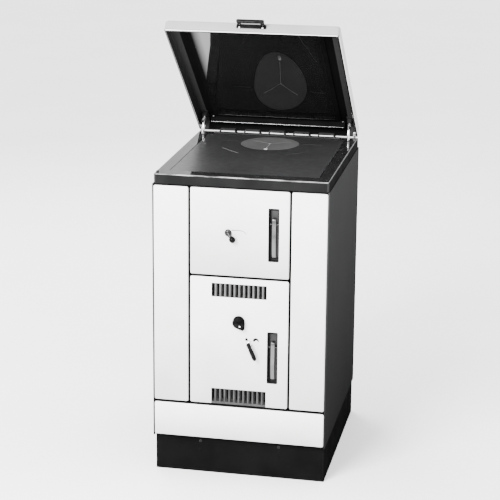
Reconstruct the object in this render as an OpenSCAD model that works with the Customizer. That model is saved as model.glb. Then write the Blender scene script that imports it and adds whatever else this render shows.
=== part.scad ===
// Free-standing wood-burning cookstove with a folding hob lid.
// The origin is on the floor under the middle of the hob. Up is +Z and the front faces -Y.

/* [Hob and case] */
// Width of the hob frame
hob_w = 480; // [440:1:560]
// Depth of the hob frame
hob_d = 570; // [540:1:620]
// Height of the hob above the floor
hob_h = 860; // [850:1:900]
// Height of the hob frame's edge
hob_edge = 28; // [24:1:36]
// Radius of the hob frame's upright corners
hob_corner_r = 8; // [4:1:14]
// Radius of the hob frame's upper edge
hob_edge_r = 4; // [2:0.5:6]
// Thickness of the sheet that clads the case
sheet = 1.5; // [1:0.1:2]
// How far the side panels stand out beyond the hob frame
case_proud = 2.5; // [1:0.5:5]
// How far the fronts stand out beyond the hob frame
front_proud = 6; // [3:0.5:9]
// Width of the side panel's edge beside the fronts
edge_strip = 4; // [3:0.5:8]
// Depth of the side panel's fold beside the fronts
side_fold = 9; // [6:1:14]
// Width of the side panel's rear flange
rear_flange = 16; // [12:1:24]
// Height of the vent rows above the plinth and below the hob frame
vent_rise = 60; // [40:1:80]
// Distance between two rows of vent slots
vent_row = 26; // [16:1:32]
// Length of a vent slot in the back panel
vent_len = 40; // [24:1:46]
// Height of a vent slot in the back panel
vent_h = 6; // [4:1:8]
// Gap between pieces that lie on each other but can move
seat_gap = 0.3; // [0.2:0.05:0.5]

/* [Plinth] */
// Height of the plinth
plinth_h = 106; // [90:1:115]
// How far the plinth stands back from the hob's front edge
plinth_setback = 14; // [8:1:30]
// How far the plinth stands in from the hob's sides
plinth_in = 1; // [0:0.5:12]
// Thickness of the plinth's sheet
plinth_sheet = 2; // [1.5:0.5:3]
// Width of the plinth's folded flanges
plinth_flange = 18; // [12:1:30]
// Distance of the plinth's screws from the middle
plinth_screw_x = 111; // [80:1:160]
// Height of the plinth's screws below its top
plinth_screw_drop = 14; // [10:1:24]
// Drop of the spare holes below the plinth's screws
plinth_hole_drop = 30; // [20:1:40]

/* [Fronts] */
// Width of both doors
door_w = 273; // [240:1:290]
// Gap beside the doors
front_gap = 5.5; // [4.5:0.5:8]
// Height of the wood drawer's front
drawer_front_h = 97; // [90:1:103]
// Gap between the plinth and the drawer's front
drawer_lift = 4; // [3:0.5:8]
// Gap between the drawer's front and the lower door
drawer_gap = 7; // [6.5:0.5:9]
// Height of the lower door
low_door_h = 366; // [360:1:370]
// Gap between the two doors
row_gap = 6; // [6:0.5:8]
// Gap between the upper door and the hob frame
top_gap = 3; // [3:0.5:5]
// Depth of an enamelled front pan
pan_depth = 18; // [16:1:20]
// Radius of the rounded edge of a front pan
pan_r = 3; // [2:0.5:4]
// Distance from the fronts' face to the steel face plate
face_back = 32; // [30:1:36]
// Thickness of the face plate
face_t = 3; // [2:0.5:4]

/* [Door hinges] */
// Distance of the hinge axis from the door's edge
hinge_in = 16; // [14:1:18]
// Distance of the hinge axis behind the fronts' face
hinge_back = 9; // [8:0.5:10]
// Diameter of the door hinge pins
hinge_pin_d = 5; // [4:0.5:6]
// Clearance round a pin that turns
pin_clear = 0.2; // [0.15:0.05:0.4]
// Diameter of the round end of a hinge plate
hinge_plate_d = 12; // [11:1:14]

/* [Fire and ash openings] */
// Left edge of the fire and ash openings, from the middle
opening_left = 94; // [84:1:98]
// Right edge of the fire and ash openings, from the middle
opening_right = 60; // [50:1:60]
// Top of the fire opening below the door's upper edge
fire_open_top = 39; // [34:1:60]
// Bottom of the fire opening above the door's lower edge
fire_open_rise = 26; // [24:1:34]
// Top of the ash opening below the door's upper edge
ash_open_top = 76; // [72:1:110]
// Bottom of the ash opening above the door's lower edge
ash_open_rise = 68; // [66:1:72]
// Radius of the openings' corners
opening_r = 6; // [3:1:10]
// Thickness of the ribs on a door's heat shield
rib_t = 4; // [3:0.5:6]
// Width of the seal's seat round an opening
seal_seat = 14; // [12:1:16]
// Width of the seal cord
seal_w = 6; // [5:0.5:7]
// Thickness of a door's inner sheet
door_back_t = 2; // [1.5:0.5:3]

/* [Handle cups and levers] */
// Width of a handle cup
cup_w = 28; // [26:1:32]
// Height of a handle cup
cup_h = 147; // [130:1:160]
// Distance of a cup's middle from the door's free edge
cup_in = 43; // [40:1:44]
// Drop of the lower cup below the middle of its door
cup_drop = 37.5; // [20:0.5:60]
// Thickness of a cup's wall
cup_t = 1; // [0.8:0.1:1.4]
// Radius of a cup's inner corners
cup_r = 3; // [2:0.5:6]
// Height of the lever's pivot above the middle of its cup
pivot_rise = 28; // [20:1:36]
// Distance of the lever's pivot behind the fronts' face
pivot_back = 11; // [10:0.5:12]
// Diameter of the lever's pivot pin
pivot_d = 5; // [4:0.5:6]
// Diameter of the lever's hub
lever_hub_d = 12; // [10:0.5:13]
// Width of the lever's hub and grip
lever_w = 12; // [9:0.5:14]
// Reach of the lever's grip below its pivot
lever_reach = 92; // [80:1:94]
// Thickness of the lever's grip
lever_t = 4; // [3:0.5:5]
// Radius to which the lever's grip is bowed
lever_bow_r = 400; // [300:10:600]
// Length of the latch keeper
keeper_w = 18; // [14:1:22]

/* [Grilles] */
// Number of slots in a grille
slot_n = 12; // [6:1:12]
// Width of a grille slot
slot_w = 8; // [6:0.5:8]
// Width of the bar between two slots
bar_w = 5.1; // [3:0.1:5.5]
// Height of the grille slots
slot_h = 39; // [30:1:40]
// Distance of the upper grille from the door's upper edge
grille_top = 16; // [14:1:17]
// Distance of the lower grille from the door's lower edge
grille_low = 7; // [6:0.5:9]
// Thickness of a grille's fins
fin_t = 3; // [1.5:0.1:3]
// Depth of a grille's fins
fin_d = 9; // [4:0.5:12]
// Border of a grille insert behind the panel
grille_rim = 5; // [4:0.5:6]

/* [Air controls] */
// Sideways place of the secondary air lever
sec_x = -31; // [-50:1:10]
// Diameter of the secondary lever's hub
sec_hub_d = 16; // [12:1:20]
// Reach of the secondary lever to its ball
sec_reach = 22; // [18:1:32]
// Diameter of the secondary lever's stem
sec_stem_d = 5; // [4:0.5:6]
// Angle at which the secondary lever is drawn
sec_angle = -54; // [-80:1:-20]
// Diameter of the secondary lever's ball
sec_ball_d = 16; // [12:1:18]
// Height of the draught knob above the middle of the lower door
knob_rise = 61; // [50:1:70]
// Diameter of the draught knob
knob_d = 33; // [26:1:36]
// Reach of the knob's pointer from its axis
knob_tip = 28; // [26:1:32]
// Angle at which the knob's pointer is drawn
knob_angle = -56; // [-90:1:0]
// Depth of the draught knob
knob_t = 17; // [12:1:22]
// Sideways place of the primary air lever
prim_x = 29; // [20:1:34]
// Diameter of the primary lever's hub
prim_hub_d = 15; // [12:1:18]
// Angle at which the primary lever is drawn
prim_angle = -64; // [-90:1:-40]
// Height of the primary lever's hub
prim_hub_h = 9; // [6:0.5:12]
// Length of the primary lever's grip
grip_len = 42; // [30:1:50]
// Diameter of the primary lever's grip
grip_d = 11.5; // [9:0.5:13]
// Diameter of a control's spindle
spindle_d = 6; // [5:0.5:8]
// Diameter of the air disc on a control's spindle
air_disc_d = 30; // [24:1:34]

/* [Hob] */
// Width of the hob frame's border at the sides
border_side = 35; // [32:1:44]
// Width of the hob frame's border at the front
border_front = 44; // [36:1:54]
// Width of the hob frame's border at the rear
border_rear = 43; // [40:1:50]
// Thickness of the hob frame's wall
hob_wall = 4; // [3:0.5:5]
// Width of the groove round the hob plate
plate_groove = 1.5; // [1:0.1:2.5]
// Thickness of the hob plate
plate_t = 8; // [6:0.5:10]
// Drop of the hob plate below the frame's top
plate_drop = 0.5; // [0:0.1:1.5]
// Width of the ledge that carries the hob plate
plate_ledge = 8; // [6:0.5:12]
// Diameter of the ring cover
ring_d = 168; // [140:1:190]
// Thickness of the ring cover
ring_t = 6; // [4:0.5:7]
// Distance of the ring cover's middle from the hob's rear edge
ring_from_rear = 136; // [130:1:180]
// Gap round the ring cover
ring_gap = 0.8; // [0.5:0.1:1.5]
// Width of an expansion slot in the hob plate
relief_w = 2; // [1.5:0.5:3]
// Distance of the slanted expansion slots from the hob plate's sides
relief_in = 78; // [60:1:90]
// Length of an expansion slot
relief_len = 56; // [30:1:60]
// How far the ring cover's grooves stop short of its edge
groove_in = 22; // [16:1:30]
// Width of the ring cover's grooves
groove_w = 2; // [1.5:0.5:3]
// Number of vent humps on the rear rail
hump_n = 5; // [3:1:5]
// Distance between two vent humps
hump_pitch = 74; // [70:1:76]
// Width of a vent hump
hump_w = 54; // [44:1:60]
// Height of a vent hump
hump_h = 13; // [8:0.5:14]
// Depth of the vent rail
vent_rail_d = 18; // [12:1:22]

/* [Lid] */
// Angle at which the lid is drawn open
lid_open = 39.7; // [0:0.1:75]
// Height of the lid's hinge axis above the hob
lid_axis_up = 8; // [7:0.5:10]
// Distance of the lid's hinge axis from the hob's rear edge
lid_axis_in = 5.5; // [5.5:0.5:7]
// Height of the lid
lid_h = 33; // [30:0.5:40]
// Gap between the closed lid and the hob
lid_gap = 5; // [4:0.5:6]
// Radius of the lid's upper edge
lid_edge_r = 6; // [3:0.5:8]
// Thickness of the lid's sheet
lid_t = 1.5; // [1:0.1:2]
// Width of the lid's folded lower hem
hem_w = 6; // [5.5:0.5:8]
// Height of the lid's folded lower hem
hem_h = 3; // [2:0.5:4]
// Radius of the arc that the lid's stay rods follow
stay_r = 50; // [46:1:54]
// Diameter of a stay rod
stay_d = 7; // [5:0.5:7]
// Distance of a stay rod from the lid's side
stay_in = 23; // [22:0.5:24]
// Length of the lid's grip
lid_grip_w = 82; // [60:1:120]
// Reach of the lid's grip beyond its front
lid_grip_reach = 30; // [24:1:36]
// Distance of the lid's stiffener in front of the hinge axis
stiffener_back = 20; // [18:1:26]
// Height of a stay rod's bracket
bracket_h = 16; // [14:1:20]
// Length of a stay rod's bracket
bracket_len = 32; // [28:1:34]
// Width of the stay brackets
bracket_w = 18; // [14:1:22]
// Thickness of the stay brackets' plate
bracket_t = 3; // [2:0.5:4]
// Width of the stay brackets' boss
boss_w = 12; // [10:1:14]
// Length of the stay brackets' boss
boss_len = 17; // [14:1:20]
// Length of the lid's stiffener beyond the stay rods, taken off at each end
stiffener_in = 16; // [12:1:20]
// Width of the lid's stiffener along the lid
stiffener_w = 14; // [10:1:20]
// Height of the lid's stiffener
stiffener_h = 10; // [6:1:14]
// Height of the lid grip's base below the lid's top
lid_grip_drop = 20; // [16:1:24]
// Number of turns of a stay spring
coil_n = 4; // [3:1:6]
// Diameter of a stay spring's wire
coil_wire = 1.6; // [1.2:0.1:2]
// Diameter of the lid's hinge pins
lid_pin_d = 5; // [4:0.5:5]
// Length of the tab that carries a hinge pin
lid_tab_len = 26; // [20:1:27]

/* [Drawer] */
// Gap between the drawer box and the case's side
box_side = 26; // [24:1:50]
// Depth of the drawer box
box_d = 420; // [360:1:460]
// Height of the drawer box
box_h = 80; // [70:1:84]
// Height of the drawer's slide bars
slide_h = 8; // [6:0.5:12]
// How far the drawer runners stop short of the back panel
runner_back = 40; // [20:1:60]
// Width of the drawer's slide bars
slide_w = 7; // [5:0.5:7]

/* [Fire box] */
// Half of the fire box's inner width
fb_x = 124; // [120:1:130]
// Depth of the fire box behind the face plate
fb_depth = 470; // [440:1:480]
// Depth of the smoke space behind the fire bricks
smoke_d = 50; // [40:1:60]
// How far the grate's shelf lies below the upper door
shelf_drop = 20; // [16:1:26]
// Thickness of the fire box's walls
fb_t = 3; // [2:0.5:5]
// Thickness of the fire bricks
brick_t = 28; // [22:1:30]
// Gap between the side bricks and the hob plate
brick_head = 53; // [40:1:80]
// Height left open for smoke over the rear brick
smoke_gap = 40; // [30:1:60]
// Thickness of the low brick behind the fuel door
front_brick_t = 24; // [18:1:30]
// Thickness of the grate
grate_t = 12; // [10:0.5:14]
// Distance of the grate behind the face plate
grate_back = 80; // [70:1:100]
// Distance of the ash pan in front of the fire box's rear wall
ash_pan_back = 75; // [60:1:90]
// Width of the bars left at the grate's ends and across its middle
grate_rim = 12; // [8:1:14]
// Diameter of the shaker rod's knob
rod_knob_d = 18; // [14:1:24]
// Width of the grate
grate_w = 138; // [120:1:150]
// Depth of the grate
grate_d = 252; // [200:1:260]
// Travel of the grate to either side of rest
grate_travel = 10; // [6:1:12]
// Height of the shaker rod below the ash opening's top
rod_drop = 24; // [16:1:40]
// Distance of the shaker rod's knob behind the face plate
rod_back = 20; // [18:1:40]
// Distance of the shaker rod's lug behind the grate's travel
rod_lug_in = 20; // [12:1:30]
// Number of air slots in the grate
grate_slots = 9; // [5:1:11]
// Height of the ash pan
ash_pan_h = 72; // [50:1:90]
// Width of the ash pan's grip
ash_grip_w = 90; // [70:1:110]
// How far the ash pan's grip stands out
ash_grip_d = 14; // [12:1:18]
// Height of the ash pan's grip above its floor
ash_grip_z = 40; // [30:1:50]
// Outer diameter of the flue collar
flue_d = 120; // [110:1:130]
// Height of the flue collar's axis below the hob
flue_drop = 160; // [140:1:200]
// Width of the flue collar's flange
flue_flange = 16; // [12:1:24]
// Length of the flue collar behind the back panel
flue_out = 40; // [30:1:80]

/* [Hidden] */
$fn = 48;
// Overshoot of a cutting tool
cut = 1;
// Half width and half depth of the hob, and half width of the case
hx = hob_w / 2;
hy = hob_d / 2;
case_x = hx + case_proud;
case_in = case_x - sheet;
// Planes from front to back
front_y = -hy - front_proud;
pan_y = front_y + pan_depth;
face_y = front_y + face_back;
face_in = face_y + face_t;
back_y = hy - 2;
back_in = back_y - sheet;
// Levels from the floor up
base_t = 2;
frame_bot = hob_h - hob_edge;
drawer_z0 = plinth_h + drawer_lift;
drawer_z1 = drawer_z0 + drawer_front_h;
low_z0 = drawer_z1 + drawer_gap;
low_z1 = low_z0 + low_door_h;
up_z0 = low_z1 + row_gap;
up_z1 = frame_bot - top_gap;
// Sides of the doors and the fixed fronts
door_x = door_w / 2;
side_x0 = door_x + front_gap;
side_x1 = case_x - edge_strip;
edge_gap = 0.5;
// Axis of both doors
axis_x = -door_x + hinge_in;
axis_y = front_y + hinge_back;
// Fire and ash openings
fire_z0 = up_z0 + fire_open_rise;
fire_z1 = up_z1 - fire_open_top;
ash_z0 = low_z0 + ash_open_rise;
ash_z1 = low_z1 - ash_open_top;
shield_gap = 4;
// Handles
cup_x = door_x - cup_in;
up_cup_z = (up_z0 + up_z1) / 2;
low_cup_z = (low_z0 + low_z1) / 2 - cup_drop;
pivot_y = front_y + pivot_back;
cup_back = pan_y + door_back_t;
latch_h = 8;
latch_w = 6;
// Air controls
sec_z = up_cup_z;
knob_z = (low_z0 + low_z1) / 2 + knob_rise;
prim_z = (low_z0 + low_z1) / 2;
grille_w = slot_n * slot_w + (slot_n - 1) * bar_w;
up_grille_z = low_z1 - grille_top - slot_h;
low_grille_z = low_z0 + grille_low;
// Hob
plate_x = hx - border_side - plate_groove;
plate_y0 = -hy + border_front + plate_groove;
plate_y1 = hy - border_rear - plate_groove;
plate_top = hob_h - plate_drop;
plate_bot = plate_top - plate_t;
ring_y = hy - ring_from_rear;
ring_ledge = 8;
// Lid
lid_y = hy - lid_axis_in;
lid_z = hob_h + lid_axis_up;
lid_z0 = hob_h + lid_gap;
lid_z1 = lid_z0 + lid_h;
stay_x = hx - stay_in;
lug_t = 6;
lug_x0 = hx - lid_t - 12;
tab_x0 = lug_x0 + lug_t + 1;
tab_t = 2;
stay_up = 24;
stay_down = 85;
// Spring on each stay rod, between two angles round the hinge axis
coil_steps = 12;
coil_sides = 6;
coil_r = stay_d / 2 + coil_wire / 2 + seat_gap;
coil_up = asin((lid_h + lid_gap - lid_axis_up - lid_t - bracket_h - coil_wire / 2 - seat_gap)
    / (stay_r + coil_r + coil_wire / 2));
coil_down = coil_up - coil_n * (coil_wire + 1.1) / stay_r * 180 / PI;
// Drawer
box_w = 2 * (case_in - box_side);
box_z0 = drawer_z0 + 8;
slide_z = box_z0 + box_h / 2 - slide_h / 2;
runner_t = 1.7;
// Fire box
fb_y1 = face_in + fb_depth;
floor_z = low_z0 + 12;
shelf_t = 10;
flue_z = hob_h - flue_drop;
shelf_z = up_z0 - shelf_drop;
rebate = 6;
brick_h = plate_bot - brick_head - shelf_z;
grate_y = face_in + grate_back + grate_d / 2;
brick_y1 = fb_y1 - smoke_d;

// Box between two opposite corners
module block(x0, x1, y0, y1, z0, z1) {
    translate([x0, y0, z0]) cube([x1 - x0, y1 - y0, z1 - z0]);
}

// Rectangle whose two corners at y = 0 are rounded
module soft_front(w, d, r) {
    translate([r, 0]) square([w - 2 * r, d]);
    translate([0, r]) square([w, d - r]);
    translate([r, r]) circle(r);
    translate([w - r, r]) circle(r);
}

// Rectangle round the origin with four rounded corners
module soft_rect(w, d, r) {
    square([w - 2 * r, d], center = true);
    square([w, d - 2 * r], center = true);
    for (i = [-1, 1], j = [-1, 1]) translate([i * (w / 2 - r), j * (d / 2 - r)]) circle(r);
}

// Upright plate across Y with rounded corners, round a middle
module upright_plate(x, z, y0, y1, w, h, r) {
    translate([x, y1, z]) rotate([90, 0, 0]) linear_extrude(y1 - y0) soft_rect(w, h, r);
}

// Block whose front face has rounded edges on all four sides
module soft_block(x0, x1, y0, y1, z0, z1, r) {
    intersection() {
        translate([x0, y0, z0]) linear_extrude(z1 - z0) soft_front(x1 - x0, y1 - y0, r);
        translate([x0, y0, z0]) rotate([90, 0, 90]) linear_extrude(x1 - x0)
            mirror([1, -1, 0]) soft_front(z1 - z0, y1 - y0, r);
    }
}

// Slab with rounded upright corners of radius rc and a rounded upper edge of radius re
module soft_slab(x0, x1, y0, y1, z0, z1, rc, re) {
    w = x1 - x0;
    d = y1 - y0;
    h = z1 - z0;
    intersection() {
        translate([(x0 + x1) / 2, (y0 + y1) / 2, z0]) linear_extrude(h) soft_rect(w, d, rc);
        translate([x0, y1, z1]) rotate([90, 0, 0]) linear_extrude(d) mirror([0, 1]) soft_front(w, h, re);
        translate([x0, y0, z1]) rotate([90, 0, 90]) linear_extrude(w) mirror([0, 1]) soft_front(d, h, re);
    }
}

// Pressed pan, open at the back
module pan(x0, x1, z0, z1, depth) {
    difference() {
        soft_block(x0, x1, front_y, front_y + depth, z0, z1, pan_r);
        soft_block(x0 + sheet, x1 - sheet, front_y + sheet, front_y + depth + cut,
            z0 + sheet, z1 - sheet, pan_r - sheet);
    }
}

// Upright cylinder on a hinge axis
module post(x, y, z0, z1, d) {
    translate([x, y, z0]) cylinder(h = z1 - z0, d = d);
}

// Cylinder along Y, from y0 to y1
module shaft(x, z, y0, y1, d) {
    translate([x, y0, z]) rotate([-90, 0, 0]) cylinder(h = y1 - y0, d = d);
}

// Cylinder along X, from x0 to x1
module rod_x(x0, x1, y, z, d) {
    translate([x0, y, z]) rotate([0, 90, 0]) cylinder(h = x1 - x0, d = d);
}

// Row of upright slots cut along Y
module slots(z, h, y0, y1) {
    for (i = [0 : slot_n - 1])
        block(-grille_w / 2 + i * (slot_w + bar_w), -grille_w / 2 + i * (slot_w + bar_w) + slot_w,
            y0, y1, z, z + h);
}

// Puts a piece drawn on the closed lid at the lid's drawn angle
module on_lid() {
    translate([0, lid_y, lid_z]) rotate([-lid_open, 0, 0]) translate([0, -lid_y, -lid_z]) children();
}

module plinth() {
    px = hx - plinth_in;
    py0 = -hy + plinth_setback;
    py1 = back_y;
    f = plinth_flange;
    t = plinth_sheet;
    color("#1e1e1e") difference() {
        block(-px, px, py0, py1, 0, plinth_h);
        block(-px + t, px - t, py0 + t, py1 - t, t, plinth_h - t);
        block(-px + f, px - f, py0 + f, py1 - f, t, plinth_h + cut);
        for (s = [-1, 1], drop = [0, plinth_hole_drop])
            shaft(s * plinth_screw_x, plinth_h - plinth_screw_drop - drop, py0 - cut, py0 + t + cut, 4);
    }
}

module plinth_screws() {
    py0 = -hy + plinth_setback;
    z = plinth_h - plinth_screw_drop;
    color("#9a9a9a") for (s = [-1, 1]) {
        shaft(s * plinth_screw_x, z, py0 - 2.4, py0, 9);
        shaft(s * plinth_screw_x, z, py0 - 0.4, py0 + plinth_sheet + 8, 4);
    }
}

module base_plate() {
    color("#2c2c2c") block(-case_in, case_in, pan_y + 5, back_in, plinth_h, plinth_h + base_t);
}

module side_panel(s) {
    strip_x = side_x1 + edge_gap;
    color("#3c3c3c") scale([s, 1, 1]) {
        block(case_in, case_x, front_y + 2, back_y, plinth_h, frame_bot);
        block(strip_x, case_in + cut, front_y + 2, front_y + 2 + side_fold, plinth_h, frame_bot);
        block(case_in - rear_flange, case_in + sheet / 2, back_in - sheet, back_in,
            plinth_h + base_t, frame_bot);
    }
}

module side_panel_left() {
    side_panel(-1);
}

module side_panel_right() {
    side_panel(1);
}

module back_panel() {
    pitch = vent_len + 12;
    color("#333333") difference() {
        block(-case_in, case_in, back_in, back_y, plinth_h, frame_bot);
        shaft(0, flue_z, back_in - cut, back_y + cut, flue_d + 6);
        for (row = [0, vent_row], z = [plinth_h + vent_rise, frame_bot - vent_rise], i = [-3 : 2])
            upright_plate((i + 0.5) * pitch, z + row, back_in - cut, back_y + cut,
                vent_len, vent_h, vent_h / 2 - 0.1);
    }
}

// Fire or ash opening with rounded corners
module opening(z0, z1, y0, y1) {
    upright_plate((opening_right - opening_left) / 2, (z0 + z1) / 2, y0, y1,
        opening_left + opening_right, z1 - z0, opening_r);
}

module face_plate() {
    drawer_x = box_w / 2 + slide_w + 2;
    color("#262626") difference() {
        block(-case_in, case_in, face_y, face_in, plinth_h + base_t, frame_bot);
        opening(fire_z0, fire_z1, face_y - cut, face_in + cut);
        opening(ash_z0, ash_z1, face_y - cut, face_in + cut);
        block(-drawer_x, drawer_x, face_y - cut, face_in + cut, box_z0 - 4, box_z0 + box_h + 4);
    }
}

module front_panel_left() {
    color("#f2f2f0") pan(-side_x1, -side_x0, low_z0, up_z1, face_back);
}

module front_panel_right() {
    color("#f2f2f0") pan(side_x0, side_x1, low_z0, up_z1, face_back);
}

// Flat hinge plate with a round end and a bore on the door axis
module hinge_plate(z0, z1) {
    r = hinge_plate_d / 2;
    difference() {
        union() {
            post(axis_x, axis_y, z0, z1, hinge_plate_d);
            block(axis_x - r, axis_x + r, axis_y, face_y, z0, z1);
        }
        post(axis_x, axis_y, z0 - cut, z1 + cut, hinge_pin_d + 2 * pin_clear);
    }
}

module door_hinge_plates() {
    color("#202020") {
        hinge_plate(up_z1 + 0.5, frame_bot - 0.5);
        hinge_plate(low_z1 + 1, up_z0 - 1);
        hinge_plate(low_z0 - 4.5, low_z0 - 0.5);
    }
}

// Block on the face plate that a latch presses up against
module keeper(z) {
    z0 = z + pivot_rise + latch_h / 2 + seat_gap;
    block(cup_x - keeper_w / 2, cup_x + keeper_w / 2, cup_back + 2, face_y, z0, z0 + 10);
}

module latch_keepers() {
    color("#8c8c8c") {
        keeper(up_cup_z);
        keeper(low_cup_z);
    }
}

module hob_frame() {
    stay_y = lid_y - sqrt(pow(stay_r, 2) - pow(lid_axis_up, 2));
    ix = hx - border_side;
    iy0 = -hy + border_front;
    iy1 = hy - border_rear;
    w = hob_wall;
    color("#3a3a3a") difference() {
        soft_slab(-hx, hx, -hy, hy, frame_bot, hob_h, hob_corner_r, hob_edge_r);
        block(-ix, ix, iy0, iy1, plate_bot, hob_h + cut);
        block(-ix + plate_ledge, ix - plate_ledge, iy0 + plate_ledge, iy1 - plate_ledge,
            frame_bot - cut, hob_h + cut);
        difference() {
            block(-hx + w, hx - w, -hy + w, hy - w, frame_bot - cut, hob_h - w);
            block(-ix - w, ix + w, iy0 - w, iy1 + w, frame_bot - 2 * cut, hob_h);
        }
        block(-ix + w, ix - w, iy0 + w, iy1 - w, frame_bot - cut, plate_bot - w);
        for (s = [-1, 1])
            block(s * stay_x - stay_d / 2 - 1.5, s * stay_x + stay_d / 2 + 1.5,
                stay_y - stay_d / 2 - 2.5, stay_y + stay_d / 2 + 4, hob_h - hob_edge / 2, hob_h + cut);
    }
}

// Thin through slot in the hob plate, between two points
module relief(x0, y0, x1, y1) {
    len = norm([x1 - x0, y1 - y0]);
    translate([x0, y0, plate_bot - cut]) rotate([0, 0, atan2(y1 - y0, x1 - x0)])
        translate([0, -relief_w / 2, 0]) cube([len, relief_w, plate_t + 2 * cut]);
}

module hob_plate() {
    r = ring_d / 2 + ring_gap;
    color("#404040") difference() {
        block(-plate_x, plate_x, plate_y0, plate_y1, plate_bot, plate_top);
        post(0, ring_y, plate_top - ring_t, plate_top + cut, 2 * r);
        post(0, ring_y, plate_bot - cut, plate_top + cut, ring_d - 2 * ring_ledge);
        for (s = [-1, 1]) {
            relief(s * (r + 10), ring_y + 14, s * (r + 10 + relief_len), ring_y + 14);
            relief(s * (plate_x - relief_in), ring_y - r + 3,
                s * (plate_x - relief_in - relief_len - 4), ring_y - r - relief_len);
        }
    }
}

module ring_cover() {
    r = ring_d / 2;
    color("#707070") difference() {
        union() {
            post(0, ring_y, plate_top - ring_t, plate_top, ring_d);
            post(0, ring_y, plate_top - plate_t, plate_top - ring_t + 0.5, ring_d - 2 * ring_ledge - 2);
        }
        for (a = [30, 150, 270]) translate([0, ring_y, plate_top - 1.2]) rotate([0, 0, a])
            translate([0, -groove_w / 2, 0]) cube([r - groove_in, groove_w, cut + 1.2]);
        translate([0, ring_y - r + 12, plate_top - 4]) cylinder(h = 4 + cut, d = 12);
        translate([0, ring_y, plate_top - 1.2]) cylinder(h = cut + 1.2, d = 5);
    }
}

module rear_vent_rail() {
    y1 = hy - 14;
    y0 = y1 - vent_rail_d;
    base_h = 2;
    span = (hump_n - 1) * hump_pitch / 2 + hump_w / 2 + 14;
    t = 1.5;
    color("#2a2a2a") {
        block(-span, span, y0, y1, hob_h, hob_h + base_h);
        for (i = [0 : hump_n - 1])
            translate([(i - (hump_n - 1) / 2) * hump_pitch, y1, hob_h + base_h])
                rotate([90, 0, 0]) linear_extrude(vent_rail_d) difference() {
                    polygon([[-hump_w / 2, 0], [hump_w / 2, 0], [hump_w / 2 - 5, hump_h - base_h],
                        [-hump_w / 2 + 5, hump_h - base_h]]);
                    polygon([[-hump_w / 2 + 4, 0], [hump_w / 2 - 4, 0],
                        [hump_w / 2 - 7, hump_h - base_h - t], [-hump_w / 2 + 7, hump_h - base_h - t]]);
                }
    }
}

module lid_buffers() {
    color("#151515") for (s = [-1, 1])
        post(s * (hx - 8), -hy + 16, hob_h, lid_z0 - seat_gap, 8);
}

module lid_hinge_lugs() {
    x1 = lug_x0 + lug_t;
    color("#9c9c9c") for (s = [-1, 1]) scale([s, 1, 1]) difference() {
        union() {
            block(lug_x0, x1, lid_y - 6, lid_y + 4, hob_h, lid_z);
            rod_x(lug_x0, x1, lid_y, lid_z, lid_pin_d + 5);
        }
        rod_x(lug_x0 - cut, x1 + cut, lid_y, lid_z, lid_pin_d + 2 * pin_clear);
    }
}

module firebox_walls() {
    color("#2b2b2b") difference() {
        block(-fb_x - fb_t, fb_x + fb_t, face_in, fb_y1 + fb_t, floor_z, plate_bot - 6);
        block(-fb_x, fb_x, face_in - cut, fb_y1, floor_z - cut, plate_bot);
        block(-hx, hx, face_in - cut, -hy + border_front + hob_wall + 1, frame_bot - seat_gap, plate_bot);
        shaft(0, flue_z, fb_y1 - cut, fb_y1 + fb_t + cut, flue_d - 2 * fb_t);
    }
}

module ash_floor() {
    color("#2b2b2b") block(-fb_x, fb_x, face_in, fb_y1, floor_z, floor_z + fb_t);
}

module grate_shelf() {
    z0 = shelf_z - shelf_t;
    rx = grate_w / 2 + 2;
    ry = grate_d / 2 + grate_travel + 2;
    color("#303030") difference() {
        block(-fb_x, fb_x, face_in, brick_y1, z0, shelf_z);
        block(-rx, rx, grate_y - ry, grate_y + ry, shelf_z - rebate, shelf_z + cut);
        block(-rx + 8, rx - 8, grate_y - ry + 8 + grate_travel, grate_y + ry - 8 - grate_travel,
            z0 - cut, shelf_z + cut);
    }
}

module firebricks() {
    mid = (face_in + brick_y1) / 2;
    inner_x = fb_x - brick_t - seat_gap;
    color("#c9b79a") {
        for (s = [-1, 1]) scale([s, 1, 1]) {
            block(fb_x - brick_t, fb_x, face_in, mid, shelf_z, shelf_z + brick_h);
            block(fb_x - brick_t, fb_x, mid + seat_gap, brick_y1, shelf_z, shelf_z + brick_h);
        }
        block(-inner_x, inner_x, brick_y1 - brick_t, brick_y1, shelf_z, shelf_z + brick_h - smoke_gap);
        block(-inner_x, inner_x, face_in, face_in + front_brick_t, shelf_z, fire_z0 - shield_gap);
    }
}

module grate() {
    z0 = shelf_z - rebate + seat_gap;
    pitch = (grate_w - 20) / grate_slots;
    color("#2f2f2f") difference() {
        block(-grate_w / 2, grate_w / 2, grate_y - grate_d / 2, grate_y + grate_d / 2, z0, z0 + grate_t);
        for (i = [0 : grate_slots - 1], s = [-1, 1])
            translate([-grate_w / 2 + 10 + (i + 0.5) * pitch, grate_y + s * (grate_d / 4 - 2), z0 - cut])
                linear_extrude(grate_t + 2 * cut)
                    soft_rect(pitch / 2, grate_d / 2 - 2 * grate_rim - 4, pitch / 4 - 0.1);
    }
}

module shaker_rod() {
    z = ash_z1 - rod_drop;
    y1 = grate_y - grate_d / 2 + 2 * grate_travel + rod_lug_in;
    y0 = face_in + rod_back;
    color("#7a7a7a") {
        shaft(0, z, y0, y1, 8);
        block(-8, 8, y1 - 6, y1, z - 4, shelf_z - rebate + seat_gap);
        shaft(0, z, y0 - 6, y0 + 10, rod_knob_d);
    }
}

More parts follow.
